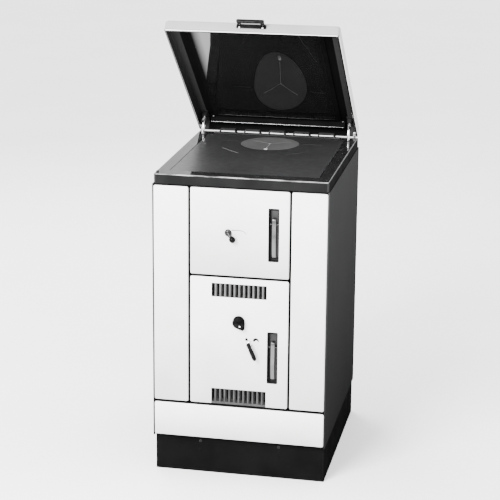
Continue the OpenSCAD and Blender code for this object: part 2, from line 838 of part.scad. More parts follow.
module ash_pan() {
    x = fb_x - 16;
    y0 = face_in + 20;
    y1 = fb_y1 - ash_pan_back;
    z0 = floor_z + fb_t;
    grip_t = 4;
    grip_z = z0 + ash_grip_z;
    color("#4a4a4a") {
        difference() {
            block(-x, x, y0, y1, z0, z0 + ash_pan_h);
            block(-x + sheet, x - sheet, y0 + sheet, y1 - sheet, z0 + sheet, z0 + ash_pan_h + cut);
        }
        block(-x - 4, x + 4, y0 - 4, y0 + sheet, z0 + ash_pan_h - sheet, z0 + ash_pan_h);
        difference() {
            block(-ash_grip_w / 2, ash_grip_w / 2, y0 - ash_grip_d, y0, grip_z, grip_z + grip_t);
            block(-ash_grip_w / 2 + 8, ash_grip_w / 2 - 8, y0 - ash_grip_d / 2, y0 - sheet,
                grip_z - cut, grip_z + grip_t + cut);
        }
    }
}

module flue_collar() {
    y0 = fb_y1 + fb_t;
    color("#222222") difference() {
        union() {
            shaft(0, flue_z, y0, back_y, flue_d - 2);
            shaft(0, flue_z, back_y, back_y + flue_out, flue_d);
            shaft(0, flue_z, y0, y0 + 5, flue_d + 2 * flue_flange);
        }
        shaft(0, flue_z, y0 - cut, back_y + flue_out + cut, flue_d - 2 * fb_t);
    }
}

module drawer_runners() {
    x0 = box_w / 2 + 1;
    y0 = face_in;
    y1 = back_in - runner_back;
    z0 = slide_z - seat_gap;
    z1 = slide_z + slide_h + seat_gap;
    color("#8a8a8a") for (s = [-1, 1]) scale([s, 1, 1]) {
        block(x0, case_in, y0, y1, z0 - runner_t, z0);
        block(x0, case_in, y0, y1, z1, z1 + runner_t);
        block(case_in - runner_t, case_in, y0, y1, z0 - cut, z1 + cut);
    }
}

module drawer_front() {
    color("#f2f2f0") pan(-side_x1, side_x1, drawer_z0, drawer_z1, pan_depth);
}

module drawer_box() {
    x = box_w / 2;
    color("#5a5a5a") {
        difference() {
            block(-x, x, pan_y, pan_y + box_d, box_z0, box_z0 + box_h);
            block(-x + sheet, x - sheet, pan_y + sheet, pan_y + box_d - sheet,
                box_z0 + sheet, box_z0 + box_h + cut);
        }
        block(-side_x1 + 2, side_x1 - 2, pan_y, pan_y + sheet, drawer_z0 + 2, drawer_z1 - 2);
    }
}

module drawer_slides() {
    x = box_w / 2;
    color("#9a9a9a") for (s = [-1, 1]) scale([s, 1, 1])
        block(x, x + slide_w, pan_y + 8, pan_y + box_d, slide_z, slide_z + slide_h);
}

// Outline of a handle cup, grown by a wall
module cup_outline(z, y0, y1, wall) {
    upright_plate(cup_x, z, y0, y1, cup_w + 2 * wall, cup_h + 2 * wall, cup_r + wall);
}

// Door pan with a hole for the handle cup
module door_pan(z0, z1, cup_z) {
    difference() {
        pan(-door_x, door_x, z0, z1, pan_depth);
        cup_outline(cup_z, front_y - cut, pan_y + cut, cup_t);
        for (z = [z0 - cut, z1 - sheet - cut])
            post(axis_x, axis_y, z, z + sheet + 2 * cut, hinge_pin_d);
    }
}

// Inner side of a door: closing sheet, raised seat for the seal, ribbed heat shield and hinge blocks
module door_inner(z0, z1, open_z0, open_z1, cup_z) {
    seat_y = pan_y + 9;
    shield_x0 = -opening_left + shield_gap;
    shield_x1 = opening_right - shield_gap;
    mid_x = (shield_x0 + shield_x1) / 2;
    mid_z = (open_z0 + open_z1) / 2;
    difference() {
        union() {
            block(-door_x + sheet, door_x - sheet, pan_y, pan_y + door_back_t, z0 + sheet, z1 - sheet);
            block(-opening_left - seal_seat - 1, opening_right + seal_seat + 1, pan_y, seat_y,
                open_z0 - seal_seat, open_z1 + seal_seat);
            block(shield_x0, shield_x1, pan_y, face_in + 3, open_z0 + shield_gap, open_z1 - shield_gap);
            for (z = [z0 + sheet, z1 - sheet - 12])
                block(axis_x - 8, axis_x + 8, front_y + sheet + 1, pan_y + 1, z, z + 12);
        }
        difference() {
            block(shield_x0 + 6, shield_x1 - 6, face_in - 3, face_in + 3 + cut,
                open_z0 + shield_gap + 6, open_z1 - shield_gap - 6);
            block(mid_x - rib_t / 2, mid_x + rib_t / 2, face_in - 4, face_in + 2, open_z0, open_z1);
            block(shield_x0, shield_x1, face_in - 4, face_in + 2, mid_z - rib_t / 2, mid_z + rib_t / 2);
        }
        cup_outline(cup_z, pan_y - cut, pan_y + door_back_t + cut, cup_t);
        for (z = [z0 + sheet - cut, z1 - sheet - 12 - cut])
            post(axis_x, axis_y, z, z + 12 + 2 * cut, hinge_pin_d);
    }
}

// Seal cord round an opening
module door_seal(open_z0, open_z1) {
    m = (seal_seat - seal_w) / 2 + 0.5;
    w = opening_left + opening_right + 2 * (m + seal_w);
    h = open_z1 - open_z0 + 2 * (m + seal_w);
    mid_x = (opening_right - opening_left) / 2;
    mid_z = (open_z0 + open_z1) / 2;
    translate([mid_x, face_y - seat_gap, mid_z]) rotate([90, 0, 0])
        linear_extrude(face_y - seat_gap - (pan_y + 9)) difference() {
            soft_rect(w, h, 12);
            soft_rect(w - 2 * seal_w, h - 2 * seal_w, 12 - seal_w);
        }
}

// Cup behind the door's face, with a slot for the latch in its back
module handle_cup(z) {
    difference() {
        cup_outline(z, front_y, cup_back, cup_t);
        cup_outline(z, front_y - cut, cup_back - sheet, 0);
        block(cup_x - latch_w / 2 - 1, cup_x + latch_w / 2 + 1, cup_back - sheet - cut, cup_back + cut,
            z + pivot_rise - latch_h / 2 - 9, z + pivot_rise + latch_h / 2 + 2);
    }
}

module handle_pin(z) {
    rod_x(cup_x - cup_w / 2, cup_x + cup_w / 2, pivot_y, z + pivot_rise, pivot_d);
}

// Profile of a lever's bowed grip, with the pivot at the origin
module bowed_grip() {
    mid = -(lever_reach + lever_hub_d) / 2;
    behind = lever_bow_r - 2;
    intersection() {
        translate([-lever_hub_d, -lever_reach]) square([lever_hub_d + 4, lever_reach]);
        difference() {
            translate([behind, mid]) circle(r = lever_bow_r + lever_t, $fn = 360);
            translate([behind, mid]) circle(r = lever_bow_r, $fn = 360);
        }
    }
    translate([-lever_t - 1, -lever_hub_d - 2]) square([lever_t, lever_hub_d + 2]);
}

// Lever with its hub on the pin, a grip that hangs down and a latch that reaches back
module handle_lever(z) {
    pz = z + pivot_rise;
    difference() {
        union() {
            rod_x(cup_x - lever_w / 2, cup_x + lever_w / 2, pivot_y, pz, lever_hub_d);
            translate([cup_x - lever_w / 2, pivot_y, pz]) rotate([90, 0, 90]) linear_extrude(lever_w)
                bowed_grip();
            block(cup_x - lever_w / 2, cup_x + lever_w / 2, pivot_y - 5.5, pivot_y - 0.5, pz, pz + 12);
            rod_x(cup_x - lever_w / 2, cup_x + lever_w / 2, pivot_y - 3, pz + 12, 5);
            block(cup_x - latch_w / 2, cup_x + latch_w / 2, pivot_y, face_y - 2,
                pz - latch_h / 2, pz + latch_h / 2);
        }
        rod_x(cup_x - lever_w, cup_x + lever_w, pivot_y, pz, pivot_d + 2 * pin_clear);
    }
}

module fuel_door_panel() {
    color("#f4f4f2") difference() {
        door_pan(up_z0, up_z1, up_cup_z);
        shaft(sec_x, sec_z, front_y - cut, front_y + sheet + cut, spindle_d + 2 * pin_clear);
    }
}

module fuel_door_casting() {
    color("#3a3a3a") door_inner(up_z0, up_z1, fire_z0, fire_z1, up_cup_z);
}

module fuel_door_seal() {
    color("#d8d2c4") door_seal(fire_z0, fire_z1);
}

module fuel_door_pins() {
    color("#8a8a8a") {
        post(axis_x, axis_y, up_z1 - sheet - 12, frame_bot - 0.5, hinge_pin_d);
        post(axis_x, axis_y, (low_z1 + up_z0) / 2 + 0.2, up_z0 + sheet + 12, hinge_pin_d);
    }
}

module fuel_handle_cup() {
    color("#8d8d8d") handle_cup(up_cup_z);
}

module fuel_handle_pin() {
    color("#b8b8b8") handle_pin(up_cup_z);
}

module fuel_handle_lever() {
    color("#c8c8c8") handle_lever(up_cup_z);
}

// Spindle with its air disc, carried by the door's panel
module control_spindle(x, z, y0) {
    shaft(x, z, y0, pan_y - 3, spindle_d);
    shaft(x, z, pan_y - 5, pan_y - 3, air_disc_d);
}

// Stem that joins the secondary lever's hub to its ball
module secondary_stem() {
    translate([sec_x, front_y - 4, sec_z]) rotate([0, 90 - sec_angle, 0])
        cylinder(h = sec_reach - 2, d = sec_stem_d);
}

module secondary_air_lever() {
    color("#c8c8c8") {
        shaft(sec_x, sec_z, front_y - 7, front_y - seat_gap, sec_hub_d);
        control_spindle(sec_x, sec_z, front_y - seat_gap - cut);
        secondary_stem();
    }
}

module secondary_air_ball() {
    x = sec_x + sec_reach * cos(sec_angle);
    z = sec_z + sec_reach * sin(sec_angle);
    color("#151515") difference() {
        translate([x, front_y - sec_ball_d / 2 - 1, z]) sphere(d = sec_ball_d);
        secondary_stem();
    }
}

module ash_door_panel() {
    color("#f4f4f2") difference() {
        door_pan(low_z0, low_z1, low_cup_z);
        block(-grille_w / 2 - 0.2, grille_w / 2 + 0.2, front_y - cut, front_y + sheet + cut,
            up_grille_z, up_grille_z + slot_h);
        block(-grille_w / 2 - 0.2, grille_w / 2 + 0.2, front_y - cut, front_y + 2 * sheet + seat_gap,
            low_z0 - cut, low_grille_z + slot_h);
        shaft(0, knob_z, front_y - cut, front_y + sheet + cut, spindle_d + 2 * pin_clear);
        shaft(prim_x, prim_z, front_y - cut, front_y + sheet + cut, spindle_d + 2 * pin_clear);
    }
}

module ash_door_casting() {
    color("#3a3a3a") difference() {
        door_inner(low_z0, low_z1, ash_z0, ash_z1, low_cup_z);
        slots(up_grille_z + 2, slot_h - 4, pan_y - cut, pan_y + door_back_t + cut);
        slots(low_grille_z + 2, slot_h - 4, pan_y - cut, pan_y + door_back_t + cut);
    }
}

module ash_door_seal() {
    color("#d8d2c4") door_seal(ash_z0, ash_z1);
}

module ash_door_pins() {
    color("#8a8a8a") {
        post(axis_x, axis_y, low_z1 - sheet - 12, (low_z1 + up_z0) / 2 - 0.2, hinge_pin_d);
        post(axis_x, axis_y, low_z0 - 4.5, low_z0 + sheet + 12, hinge_pin_d);
    }
}

module ash_handle_cup() {
    color("#8d8d8d") handle_cup(low_cup_z);
}

module ash_handle_pin() {
    color("#b8b8b8") handle_pin(low_cup_z);
}

module ash_handle_lever() {
    color("#c8c8c8") handle_lever(low_cup_z);
}

// Slotted sheet with fins, behind a window in the lower door's panel
module grille(z, rim_low, foot) {
    w = grille_w / 2 + grille_rim;
    y0 = front_y + sheet;
    color("#8f8f8f") difference() {
        union() {
            block(-w, w, y0, y0 + sheet, z - rim_low, z + slot_h + grille_rim);
            block(-grille_w / 2, grille_w / 2, y0, y0 + sheet, z - foot, z);
            for (i = [0 : slot_n - 2])
                translate([-grille_w / 2 + slot_w + i * (slot_w + bar_w), 0, 0])
                    block(bar_w / 2 - fin_t / 2, bar_w / 2 + fin_t / 2, y0, y0 + fin_d,
                        z - 1, z + slot_h + 1);
        }
        slots(z, slot_h, y0 - cut, y0 + fin_d + cut);
    }
}

module upper_grille() {
    grille(up_grille_z, grille_rim, grille_rim);
}

module lower_grille() {
    grille(low_grille_z, grille_low - pan_r - 0.5, grille_low - 0.5);
}

module draught_knob() {
    r = knob_d / 2;
    side = r - 0.2;
    t = acos(r / knob_tip);
    color("#141414") translate([0, front_y - seat_gap, knob_z]) rotate([90, 0, 0]) difference() {
        union() {
            cylinder(h = knob_t, r = r);
            rotate([0, 0, knob_angle]) linear_extrude(knob_t - 1)
                polygon([[0, 0], [side * cos(t), side * sin(t)],
                    [knob_tip, 0], [side * cos(t), -side * sin(t)]]);
        }
        translate([0, 0, -cut]) cylinder(h = knob_t / 2 + cut, d = spindle_d);
    }
}

module draught_spindle() {
    color("#8a8a8a") control_spindle(0, knob_z, front_y - seat_gap - knob_t / 2);
}

module primary_air_lever() {
    color("#c8c8c8") {
        shaft(prim_x, prim_z, front_y - prim_hub_h, front_y - seat_gap, prim_hub_d);
        control_spindle(prim_x, prim_z, front_y - seat_gap - cut);
    }
}

module primary_air_grip() {
    y0 = front_y - prim_hub_h - grip_d / 2;
    color("#151515") translate([prim_x, y0, prim_z]) rotate([0, 90 - prim_angle, 0]) {
        cylinder(h = grip_len, d = grip_d);
        translate([0, 0, grip_len]) sphere(d = grip_d);
        rotate([-90, 0, 0]) cylinder(h = grip_d / 2, d = grip_d);
    }
}

module lid_shell() {
    t = lid_t;
    color("#d0d0d0") on_lid() difference() {
        soft_slab(-hx, hx, front_y, hy, lid_z0, lid_z1, hob_corner_r, lid_edge_r);
        soft_slab(-hx + t, hx - t, front_y + t, hy - t, lid_z0 + hem_h, lid_z1 - t,
            hob_corner_r - t, lid_edge_r - t);
        block(-hx + hem_w, hx - hem_w, front_y + hem_w, hy - hem_w, lid_z0 - cut, lid_z0 + hem_h + cut);
        block(-hx + t, hx - t, lid_y - lid_tab_len - 2, lid_y - 3, lid_z0 - cut, lid_z0 + hem_h + cut);
        block(-tab_x0 - tab_t, tab_x0 + tab_t, lid_y - 12, hy - t, lid_z0 - cut, lid_z0 + hem_h + cut);
        for (s = [-1, 1]) scale([s, 1, 1])
            block(lug_x0 - 2, lug_x0 + lug_t + 2, hy - t - cut, hy + cut, lid_z0 - cut, lid_z + 12);
    }
}

module lid_stiffener() {
    x = stay_x - stiffener_in;
    y1 = lid_y - stiffener_back;
    z1 = lid_z1 - lid_t;
    color("#b4b4b4") on_lid() {
        block(-x, x, y1 - stiffener_w, y1, z1 - sheet, z1);
        block(-x, x, y1 - sheet, y1, z1 - stiffener_h, z1);
    }
}

module lid_stiffener_screws() {
    y = lid_y - stiffener_back - 8;
    z1 = lid_z1 - lid_t - 1.5;
    color("#c8c8c8") on_lid() for (s = [-1, 1])
        translate([s * (stay_x - stiffener_in - 6), y, z1 - 2]) cylinder(h = 2, d = 8);
}

module lid_grip() {
    z0 = lid_z1 - lid_grip_drop;
    w = lid_grip_w;
    color("#141414") on_lid() {
        block(-w / 2, w / 2, front_y - 4, front_y, z0, z0 + 12);
        for (s = [-1, 1]) block(s * (w / 2 - 9) - 5, s * (w / 2 - 9) + 5, front_y - lid_grip_reach + 4,
            front_y - 3, z0 + 5, z0 + 12);
        soft_slab(-w / 2 + 3, w / 2 - 3, front_y - lid_grip_reach, front_y - lid_grip_reach + 9,
            z0 + 3, z0 + 13, 3, 2);
    }
}

module lid_grip_screws() {
    color("#c8c8c8") on_lid() for (s = [-1, 1])
        shaft(s * (lid_grip_w / 2 - 9), lid_z1 - lid_grip_drop + 2, front_y - 5.2, front_y - 4, 5);
}

module lid_hinge_pins() {
    y0 = lid_y - lid_tab_len;
    color("#b0b0b0") on_lid() for (s = [-1, 1]) scale([s, 1, 1]) {
        rod_x(lug_x0 - 1, tab_x0 + 1, lid_y, lid_z, lid_pin_d);
        block(tab_x0, tab_x0 + tab_t, y0, lid_y + 2.5, lid_z - 3, lid_z + 9);
        block(tab_x0, hx - lid_t, y0, lid_y - 5, lid_z + 2, lid_z + 9);
    }
}

// Arc rod round the lid's hinge axis, drawn at X = 0
module stay_rod() {
    translate([0, lid_y, lid_z]) rotate([0, 90, 0]) rotate([0, 0, 270 - stay_up])
        rotate_extrude(angle = stay_up + stay_down) translate([stay_r, 0]) circle(d = stay_d);
}

module lid_stays() {
    color("#d8d8d8") on_lid() for (s = [-1, 1]) translate([s * stay_x, 0, 0]) stay_rod();
}

module lid_stay_brackets() {
    z1 = lid_z1 - lid_t;
    y = lid_y - stay_r;
    color("#1a1a1a") on_lid() for (s = [-1, 1]) translate([s * stay_x, 0, 0]) difference() {
        union() {
            block(-bracket_w / 2, bracket_w / 2, y - 12, y - 12 + bracket_len, z1 - bracket_t, z1);
            block(-boss_w / 2, boss_w / 2, y - 4, y - 4 + boss_len, z1 - bracket_h, z1 - bracket_t + 1);
        }
        stay_rod();
    }
}

// Centre of the spring's wire at step i, for turns that follow the stay rod
function coil_point(i, ring, side) =
    let (turn = 360 * i / coil_steps, a = 360 * side / coil_sides,
        rr = coil_r + ring * coil_wire / 2 * cos(a),
        lift = ring * coil_wire / 2 * sin(a) / stay_r * 180 / PI,
        up = coil_up - (coil_up - coil_down) * i / (coil_n * coil_steps) + lift,
        rho = stay_r + rr * cos(turn))
    [rr * sin(turn), lid_y - rho * cos(up), lid_z + rho * sin(up)];

// Helical spring round a stay rod, swept as one tube
module coil() {
    last = coil_n * coil_steps;
    k = coil_sides;
    points = [for (i = [0 : last], j = [0 : k - 1]) coil_point(i, 1, j)];
    walls = [for (i = [0 : last - 1], j = [0 : k - 1], h = [0, 1])
        let (a = i * k + j, b = i * k + (j + 1) % k)
        h == 0 ? [a, b, b + k] : [a, b + k, a + k]];
    near = [for (j = [1 : k - 2]) [0, j + 1, j]];
    far = [for (j = [1 : k - 2]) [last * k, last * k + j, last * k + j + 1]];
    gap = min([for (i = [0 : last - coil_steps])
        norm(coil_point(i + coil_steps, 0, 0) - coil_point(i, 0, 0))]);
    echo(least_gap_between_turns = gap - coil_wire);
    polyhedron(points, concat(walls, near, far));
}

module lid_stay_springs() {
    color("#bdbdbd") on_lid() for (s = [-1, 1]) translate([s * stay_x, 0, 0]) coil();
}

plinth();
plinth_screws();
base_plate();
side_panel_left();
side_panel_right();
back_panel();
face_plate();
front_panel_left();
front_panel_right();
door_hinge_plates();
latch_keepers();
hob_frame();
hob_plate();
ring_cover();
rear_vent_rail();
lid_buffers();
lid_hinge_lugs();
firebox_walls();
ash_floor();
grate_shelf();
firebricks();
grate();
shaker_rod();
ash_pan();
flue_collar();
drawer_runners();
drawer_front();
drawer_box();
drawer_slides();
fuel_door_panel();
fuel_door_casting();
fuel_door_seal();
fuel_door_pins();
fuel_handle_cup();
fuel_handle_pin();
fuel_handle_lever();
secondary_air_lever();
secondary_air_ball();
ash_door_panel();
ash_door_casting();
ash_door_seal();
ash_door_pins();
ash_handle_cup();
ash_handle_pin();
ash_handle_lever();
upper_grille();
lower_grille();
draught_knob();
draught_spindle();
primary_air_lever();
primary_air_grip();
lid_shell();
lid_stiffener();
lid_stiffener_screws();
lid_grip();
lid_grip_screws();
lid_hinge_pins();
lid_stays();
lid_stay_brackets();
lid_stay_springs();
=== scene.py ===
# Wood-burning cookstove with a folding hob lid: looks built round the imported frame.
# Lengths are given in millimetres and turned into metres by mm().
import math

import bpy
from mathutils import Matrix, Vector


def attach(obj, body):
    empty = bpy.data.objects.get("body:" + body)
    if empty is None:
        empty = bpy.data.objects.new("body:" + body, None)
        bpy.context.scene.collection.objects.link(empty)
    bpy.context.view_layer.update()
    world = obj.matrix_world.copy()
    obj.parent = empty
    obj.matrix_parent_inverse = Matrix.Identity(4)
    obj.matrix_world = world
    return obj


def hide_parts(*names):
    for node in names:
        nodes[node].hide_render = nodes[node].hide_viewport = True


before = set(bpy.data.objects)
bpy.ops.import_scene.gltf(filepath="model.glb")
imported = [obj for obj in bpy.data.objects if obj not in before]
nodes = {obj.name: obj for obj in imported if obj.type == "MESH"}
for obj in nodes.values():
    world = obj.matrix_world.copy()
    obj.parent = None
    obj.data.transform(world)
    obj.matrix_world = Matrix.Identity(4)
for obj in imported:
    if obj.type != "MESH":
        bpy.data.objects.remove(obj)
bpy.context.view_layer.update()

# Sizes of the stove, in millimetres
HALF_WIDTH = 240.0
HALF_DEPTH = 285.0
HOB_TOP = 860.0
RING_Y = 149.0
FRONT = -291.0
PAN_BACK = -273.0
PLINTH_FRONT = -271.0
BACK = 283.0
FLUE_Z = 700.0
SIDE_EDGE = 238.5
SIDE_INNER_EDGE = 142.0
DOOR_EDGE = 136.5
DRAWER_Z = (110.0, 207.0)
ASH_DOOR_Z = (214.0, 580.0)
FUEL_DOOR_Z = (586.0, 829.0)
FIRE_OPENING_Z = (612.0, 790.0)
ASH_OPENING_Z = (282.0, 504.0)
OPENING_X = (-94.0, 60.0)

# Handle cups, air controls and grilles, in millimetres: a control's place is (x, z)
CUP_X = 93.5
CUP_HALF_HEIGHT = 74.0
FUEL_CUP_Z = 707.5
ASH_CUP_Z = 359.5
PIVOT_RISE = 28.0
PIVOT_Y = -280.0
SECONDARY = (-31, 707.5)
DRAUGHT = (0, 458)
PRIMARY = (29, 397)
SLOTS = 12
SLOT_PITCH = 13.1
SLOT_WIDTH = 8.0
SLOT_HEIGHT = 39.0
SLOTS_START = -76.05

# Lid, in millimetres and degrees: the hinge axis, the drawn angle and what hangs inside
LID_AXIS = (0.0, 279.5, 868.0)
LID_OPEN = 39.7
LID_LOW = 865.0
LID_TOP = 898.0
LINING_EDGE = 212.0
PANEL_X = 190.0
PANEL_Y = (-243.0, 240.0)
PANEL_Z = (892.2, 895.6)
BOW_MIDDLE = -145.0
BOW_DEPTH = 340.0
STAY_X = 217.0
STAY_R = 50.0

# Tones of the enamel, from the top of each front down to its darker foot (painted shade), and the two sides of the
# stove
ENAMEL_HIGH = (0.92, 0.92, 0.915)
ENAMEL_SHADED_FOOT = (0.43, 0.43, 0.427)
GROUND_COAT = (0.0022, 0.0022, 0.0023), (0.0034, 0.0034, 0.0035)
SIDES = (("left", -1), ("right", 1))


def mm(*lengths):
    """Millimetres to metres."""
    if len(lengths) == 1:
        return lengths[0] * 0.001
    return Vector([v * 0.001 for v in lengths])


# Modelling helpers
def enter():
    """Goes into edit mode."""
    bpy.ops.object.mode_set(mode="EDIT")


def leave():
    """Goes back to object mode."""
    bpy.ops.object.mode_set(mode="OBJECT")


def alone(*pieces):
    """Selects only these pieces, the first one active."""
    if bpy.context.object and bpy.context.object.mode != "OBJECT":
        leave()
    bpy.ops.object.select_all(action="DESELECT")
    for piece in pieces:
        piece.select_set(True)
    bpy.context.view_layer.objects.active = pieces[0]


def settle(piece, name=None):
    """Names a piece and applies its place to its mesh."""
    alone(piece)
    bpy.ops.object.transform_apply(location=True, rotation=True, scale=True)
    if name:
        piece.name = name
        piece.data.name = name
    return piece


def block(name, x0, x1, y0, y1, z0, z1):
    """A block between two corners."""
    bpy.ops.object.select_all(action="DESELECT")
    middle = mm((x0 + x1) / 2, (y0 + y1) / 2, (z0 + z1) / 2)
    bpy.ops.mesh.primitive_cube_add(size=1, location=middle, scale=mm(x1 - x0, y1 - y0, z1 - z0))
    return settle(bpy.context.object, name)


def edit_faces(piece, wanted):
    """Goes into edit mode with the faces selected for which wanted(centre, normal) holds, in millimetres."""
    alone(piece)
    enter()
    bpy.ops.mesh.select_mode(type="FACE")
    bpy.ops.mesh.select_all(action="DESELECT")
    leave()
    for face in piece.data.polygons:
        face.select = bool(wanted(face.center * 1000, face.normal))
    enter()


def open_face(piece, wanted):
    """Removes the chosen faces."""
    edit_faces(piece, wanted)
    bpy.ops.mesh.delete(type="FACE")
    leave()


def edit_edges(piece, wanted):
    """Goes into edit mode with the edges selected for which wanted(end, end) is true, in millimetres."""
    alone(piece)
    enter()
    bpy.ops.mesh.select_mode(type="EDGE")
    bpy.ops.mesh.select_all(action="DESELECT")
    leave()
    points = [v.co * 1000 for v in piece.data.vertices]
    for edge in piece.data.edges:
        edge.select = bool(wanted(points[edge.vertices[0]], points[edge.vertices[1]]))
    enter()


def upright(a, b):
    """Whether an edge runs along Z."""
    return abs(a.x - b.x) < 0.1 and abs(a.y - b.y) < 0.1


def lengthwise(a, b):
    """Whether an edge runs along Y."""
    return abs(a.x - b.x) < 0.1 and abs(a.z - b.z) < 0.1


def round_edges(piece, wanted, radius, steps=4):
    """Rounds the chosen edges."""
    edit_edges(piece, wanted)
    bpy.ops.mesh.bevel(offset=mm(radius), offset_type="OFFSET", segments=steps, profile=0.5, affect="EDGES")
    leave()
    return piece


def soften(piece, radius, steps=2, angle=30):
    """Rounds every sharp edge with an applied bevel."""
    bevel = piece.modifiers.new("edge", "BEVEL")
    bevel.width = mm(radius)
    bevel.segments = steps
    bevel.limit_method = "ANGLE"
    bevel.angle_limit = math.radians(angle)
    alone(piece)
    bpy.ops.object.modifier_apply(modifier="edge")
    return piece


def thicken(piece, wall):
    """Gives an open skin its wall, inwards."""
    solid = piece.modifiers.new("wall", "SOLIDIFY")
    solid.thickness = mm(wall)
    solid.offset = -1.0
    solid.use_even_offset = True
    alone(piece)
    bpy.ops.object.modifier_apply(modifier="wall")
    return piece


def carve(piece, *tools):
    """Cuts tools out of a piece and removes them."""
    for tool in tools:
        cutter = piece.modifiers.new("cut", "BOOLEAN")
        cutter.operation = "DIFFERENCE"
        cutter.solver = "EXACT"
        cutter.object = tool
        alone(piece)
        bpy.ops.object.modifier_apply(modifier="cut")
        bpy.data.objects.remove(tool)
    return piece


def smooth(piece, angle=32):
    """Shades a piece smooth apart from edges sharper than the angle."""
    alone(piece)
    bpy.ops.object.shade_smooth_by_angle(angle=math.radians(angle))
    return piece


def face_outwards(piece):
    """Merges doubles and points all faces outwards."""
    alone(piece)
    enter()
    bpy.ops.mesh.select_all(action="SELECT")
    bpy.ops.mesh.remove_doubles(threshold=0.000002)
    bpy.ops.mesh.normals_make_consistent(inside=False)
    leave()
    return piece


def turned(name, rings, sides=48):
    """A turned piece round Z: each ring is (radius, height) in millimetres."""
    bpy.ops.object.select_all(action="DESELECT")
    bpy.ops.mesh.primitive_circle_add(vertices=sides, radius=mm(rings[0][0]), fill_type="NGON",
                                      location=(0, 0, mm(rings[0][1])))
    piece = settle(bpy.context.object, name)
    enter()
    bpy.ops.mesh.select_mode(type="FACE")
    bpy.ops.mesh.select_all(action="SELECT")
    for (r0, z0), (r1, z1) in zip(rings, rings[1:]):
        bpy.ops.mesh.extrude_region_move(TRANSFORM_OT_translate={"value": (0, 0, mm(z1 - z0))})
        grow = r1 / r0
        bpy.ops.transform.resize(value=(grow, grow, 1), center_override=(0, 0, mm(z1)))
    leave()
    return face_outwards(piece)


def put(piece, place, toward=(0, 0, 1), spin=0.0):
    """Moves a piece made round Z: Z points toward a direction, its origin is at place, in millimetres."""
    turn = Vector((0, 0, 1)).rotation_difference(Vector(toward).normalized()).to_matrix().to_4x4()
    piece.matrix_world = Matrix.Translation(mm(*place)) @ turn @ Matrix.Rotation(math.radians(spin), 4, "Z")
    return settle(piece)


def outline_plate(name, outline, depth):
    """A plate with this outline in the XY plane, from z = 0 to depth, in millimetres."""
    bpy.ops.object.select_all(action="DESELECT")
    bpy.ops.mesh.primitive_circle_add(vertices=len(outline), radius=0.01, fill_type="NGON")
    piece = settle(bpy.context.object, name)
    for vertex, (x, y) in zip(piece.data.vertices, outline):
        vertex.co = mm(x, y, 0)
    enter()
    bpy.ops.mesh.select_all(action="SELECT")
    bpy.ops.mesh.extrude_region_move(TRANSFORM_OT_translate={"value": (0, 0, mm(depth))})
    leave()
    return face_outwards(piece)


def wire(name, points, diameter, sides=6, closed=False):
    """A round rod along points, in millimetres. sides is the curve's own resolution."""
    curve = bpy.data.curves.new(name, "CURVE")
    curve.dimensions = "3D"
    curve.bevel_depth = mm(diameter / 2)
    curve.bevel_resolution = sides
    curve.use_fill_caps = not closed
    run = curve.splines.new("POLY")
    run.points.add(len(points) - 1)
    for spot, point in zip(run.points, points):
        spot.co = (*mm(*point), 1)
    run.use_cyclic_u = closed
    run.use_smooth = True
    rod = bpy.data.objects.new(name, curve)
    bpy.context.scene.collection.objects.link(rod)
    alone(rod)
    bpy.ops.object.convert(target="MESH")
    rod = bpy.context.object
    return settle(rod, name)


def join(name, *pieces):
    """Makes one piece of several."""
    alone(*pieces)
    bpy.ops.object.join()
    piece = bpy.context.object
    piece.name = name
    piece.data.name = name
    return piece


def open_lid(piece):
    """Turns a piece drawn on the closed lid to the lid's drawn angle."""
    axis = Matrix.Translation(mm(*LID_AXIS))
    piece.matrix_world = axis @ Matrix.Rotation(-math.radians(LID_OPEN), 4, "X") @ axis.inverted()
    return settle(piece)


def wear(piece, material, body, slot, *replaced):
    """Gives a finished piece its material and its body; the slot argument is not used."""
    piece.data.materials.clear()
    piece.data.materials.append(material)
    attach(piece, body)
    if replaced:
        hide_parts(*replaced)
    return piece


# Finishes
SOCKETS = {"spec": "Specular IOR Level", "metal": "Metallic", "rough": "Roughness", "coat": "Coat Weight",
           "coat_rough": "Coat Roughness", "coat_ior": "Coat IOR", "sheen": "Sheen Weight"}


def new_material(name, **constants):
    """A material, its node tree and its shader, with the shader's named constants set."""
    material = bpy.data.materials.new(name)
    material.use_nodes = True
    tree = material.node_tree
    shader = tree.nodes["Principled BSDF"]
    for socket, value in constants.items():
        shader.inputs[SOCKETS[socket]].default_value = value
    return material, tree, shader


def grey(value, blue=None):
    """A neutral colour, or one with another blue."""
    return value, value, value if blue is None else blue


def add(tree, kind, **values):
    """A node with its input sockets or settings given by name."""
    node = tree.nodes.new("ShaderNode" + kind)
    for key, value in values.items():
        if key in node.inputs:
            node.inputs[key].default_value = value
        else:
            setattr(node, key, value)
    return node


def feed(tree, shader, socket, value):
    """Links a value to a socket of the shader."""
    tree.links.new(value, shader.inputs[socket])


def calculate(tree, operation, *values):
    """A Math node: each value is a node value or a number."""
    node = add(tree, "Math", operation=operation)
    for socket, value in zip(node.inputs, values):
        if isinstance(value, (int, float)):
            socket.default_value = value
        else:
            tree.links.new(value, socket)
    return node.outputs["Value"]


def product(tree, *values):
    """Multiplies node values together."""
    result = values[0]
    for value in values[1:]:
        result = calculate(tree, "MULTIPLY", result, value)
    return result


def own_place(tree):
    """A point's place in its own object."""
    return add(tree, "TexCoord").outputs["Object"]


def location(tree):
    """The X, Y and Z of that place, and the place itself."""
    point = own_place(tree)
    parts = add(tree, "SeparateXYZ")
    tree.links.new(point, parts.inputs["Vector"])
    return *parts.outputs, point


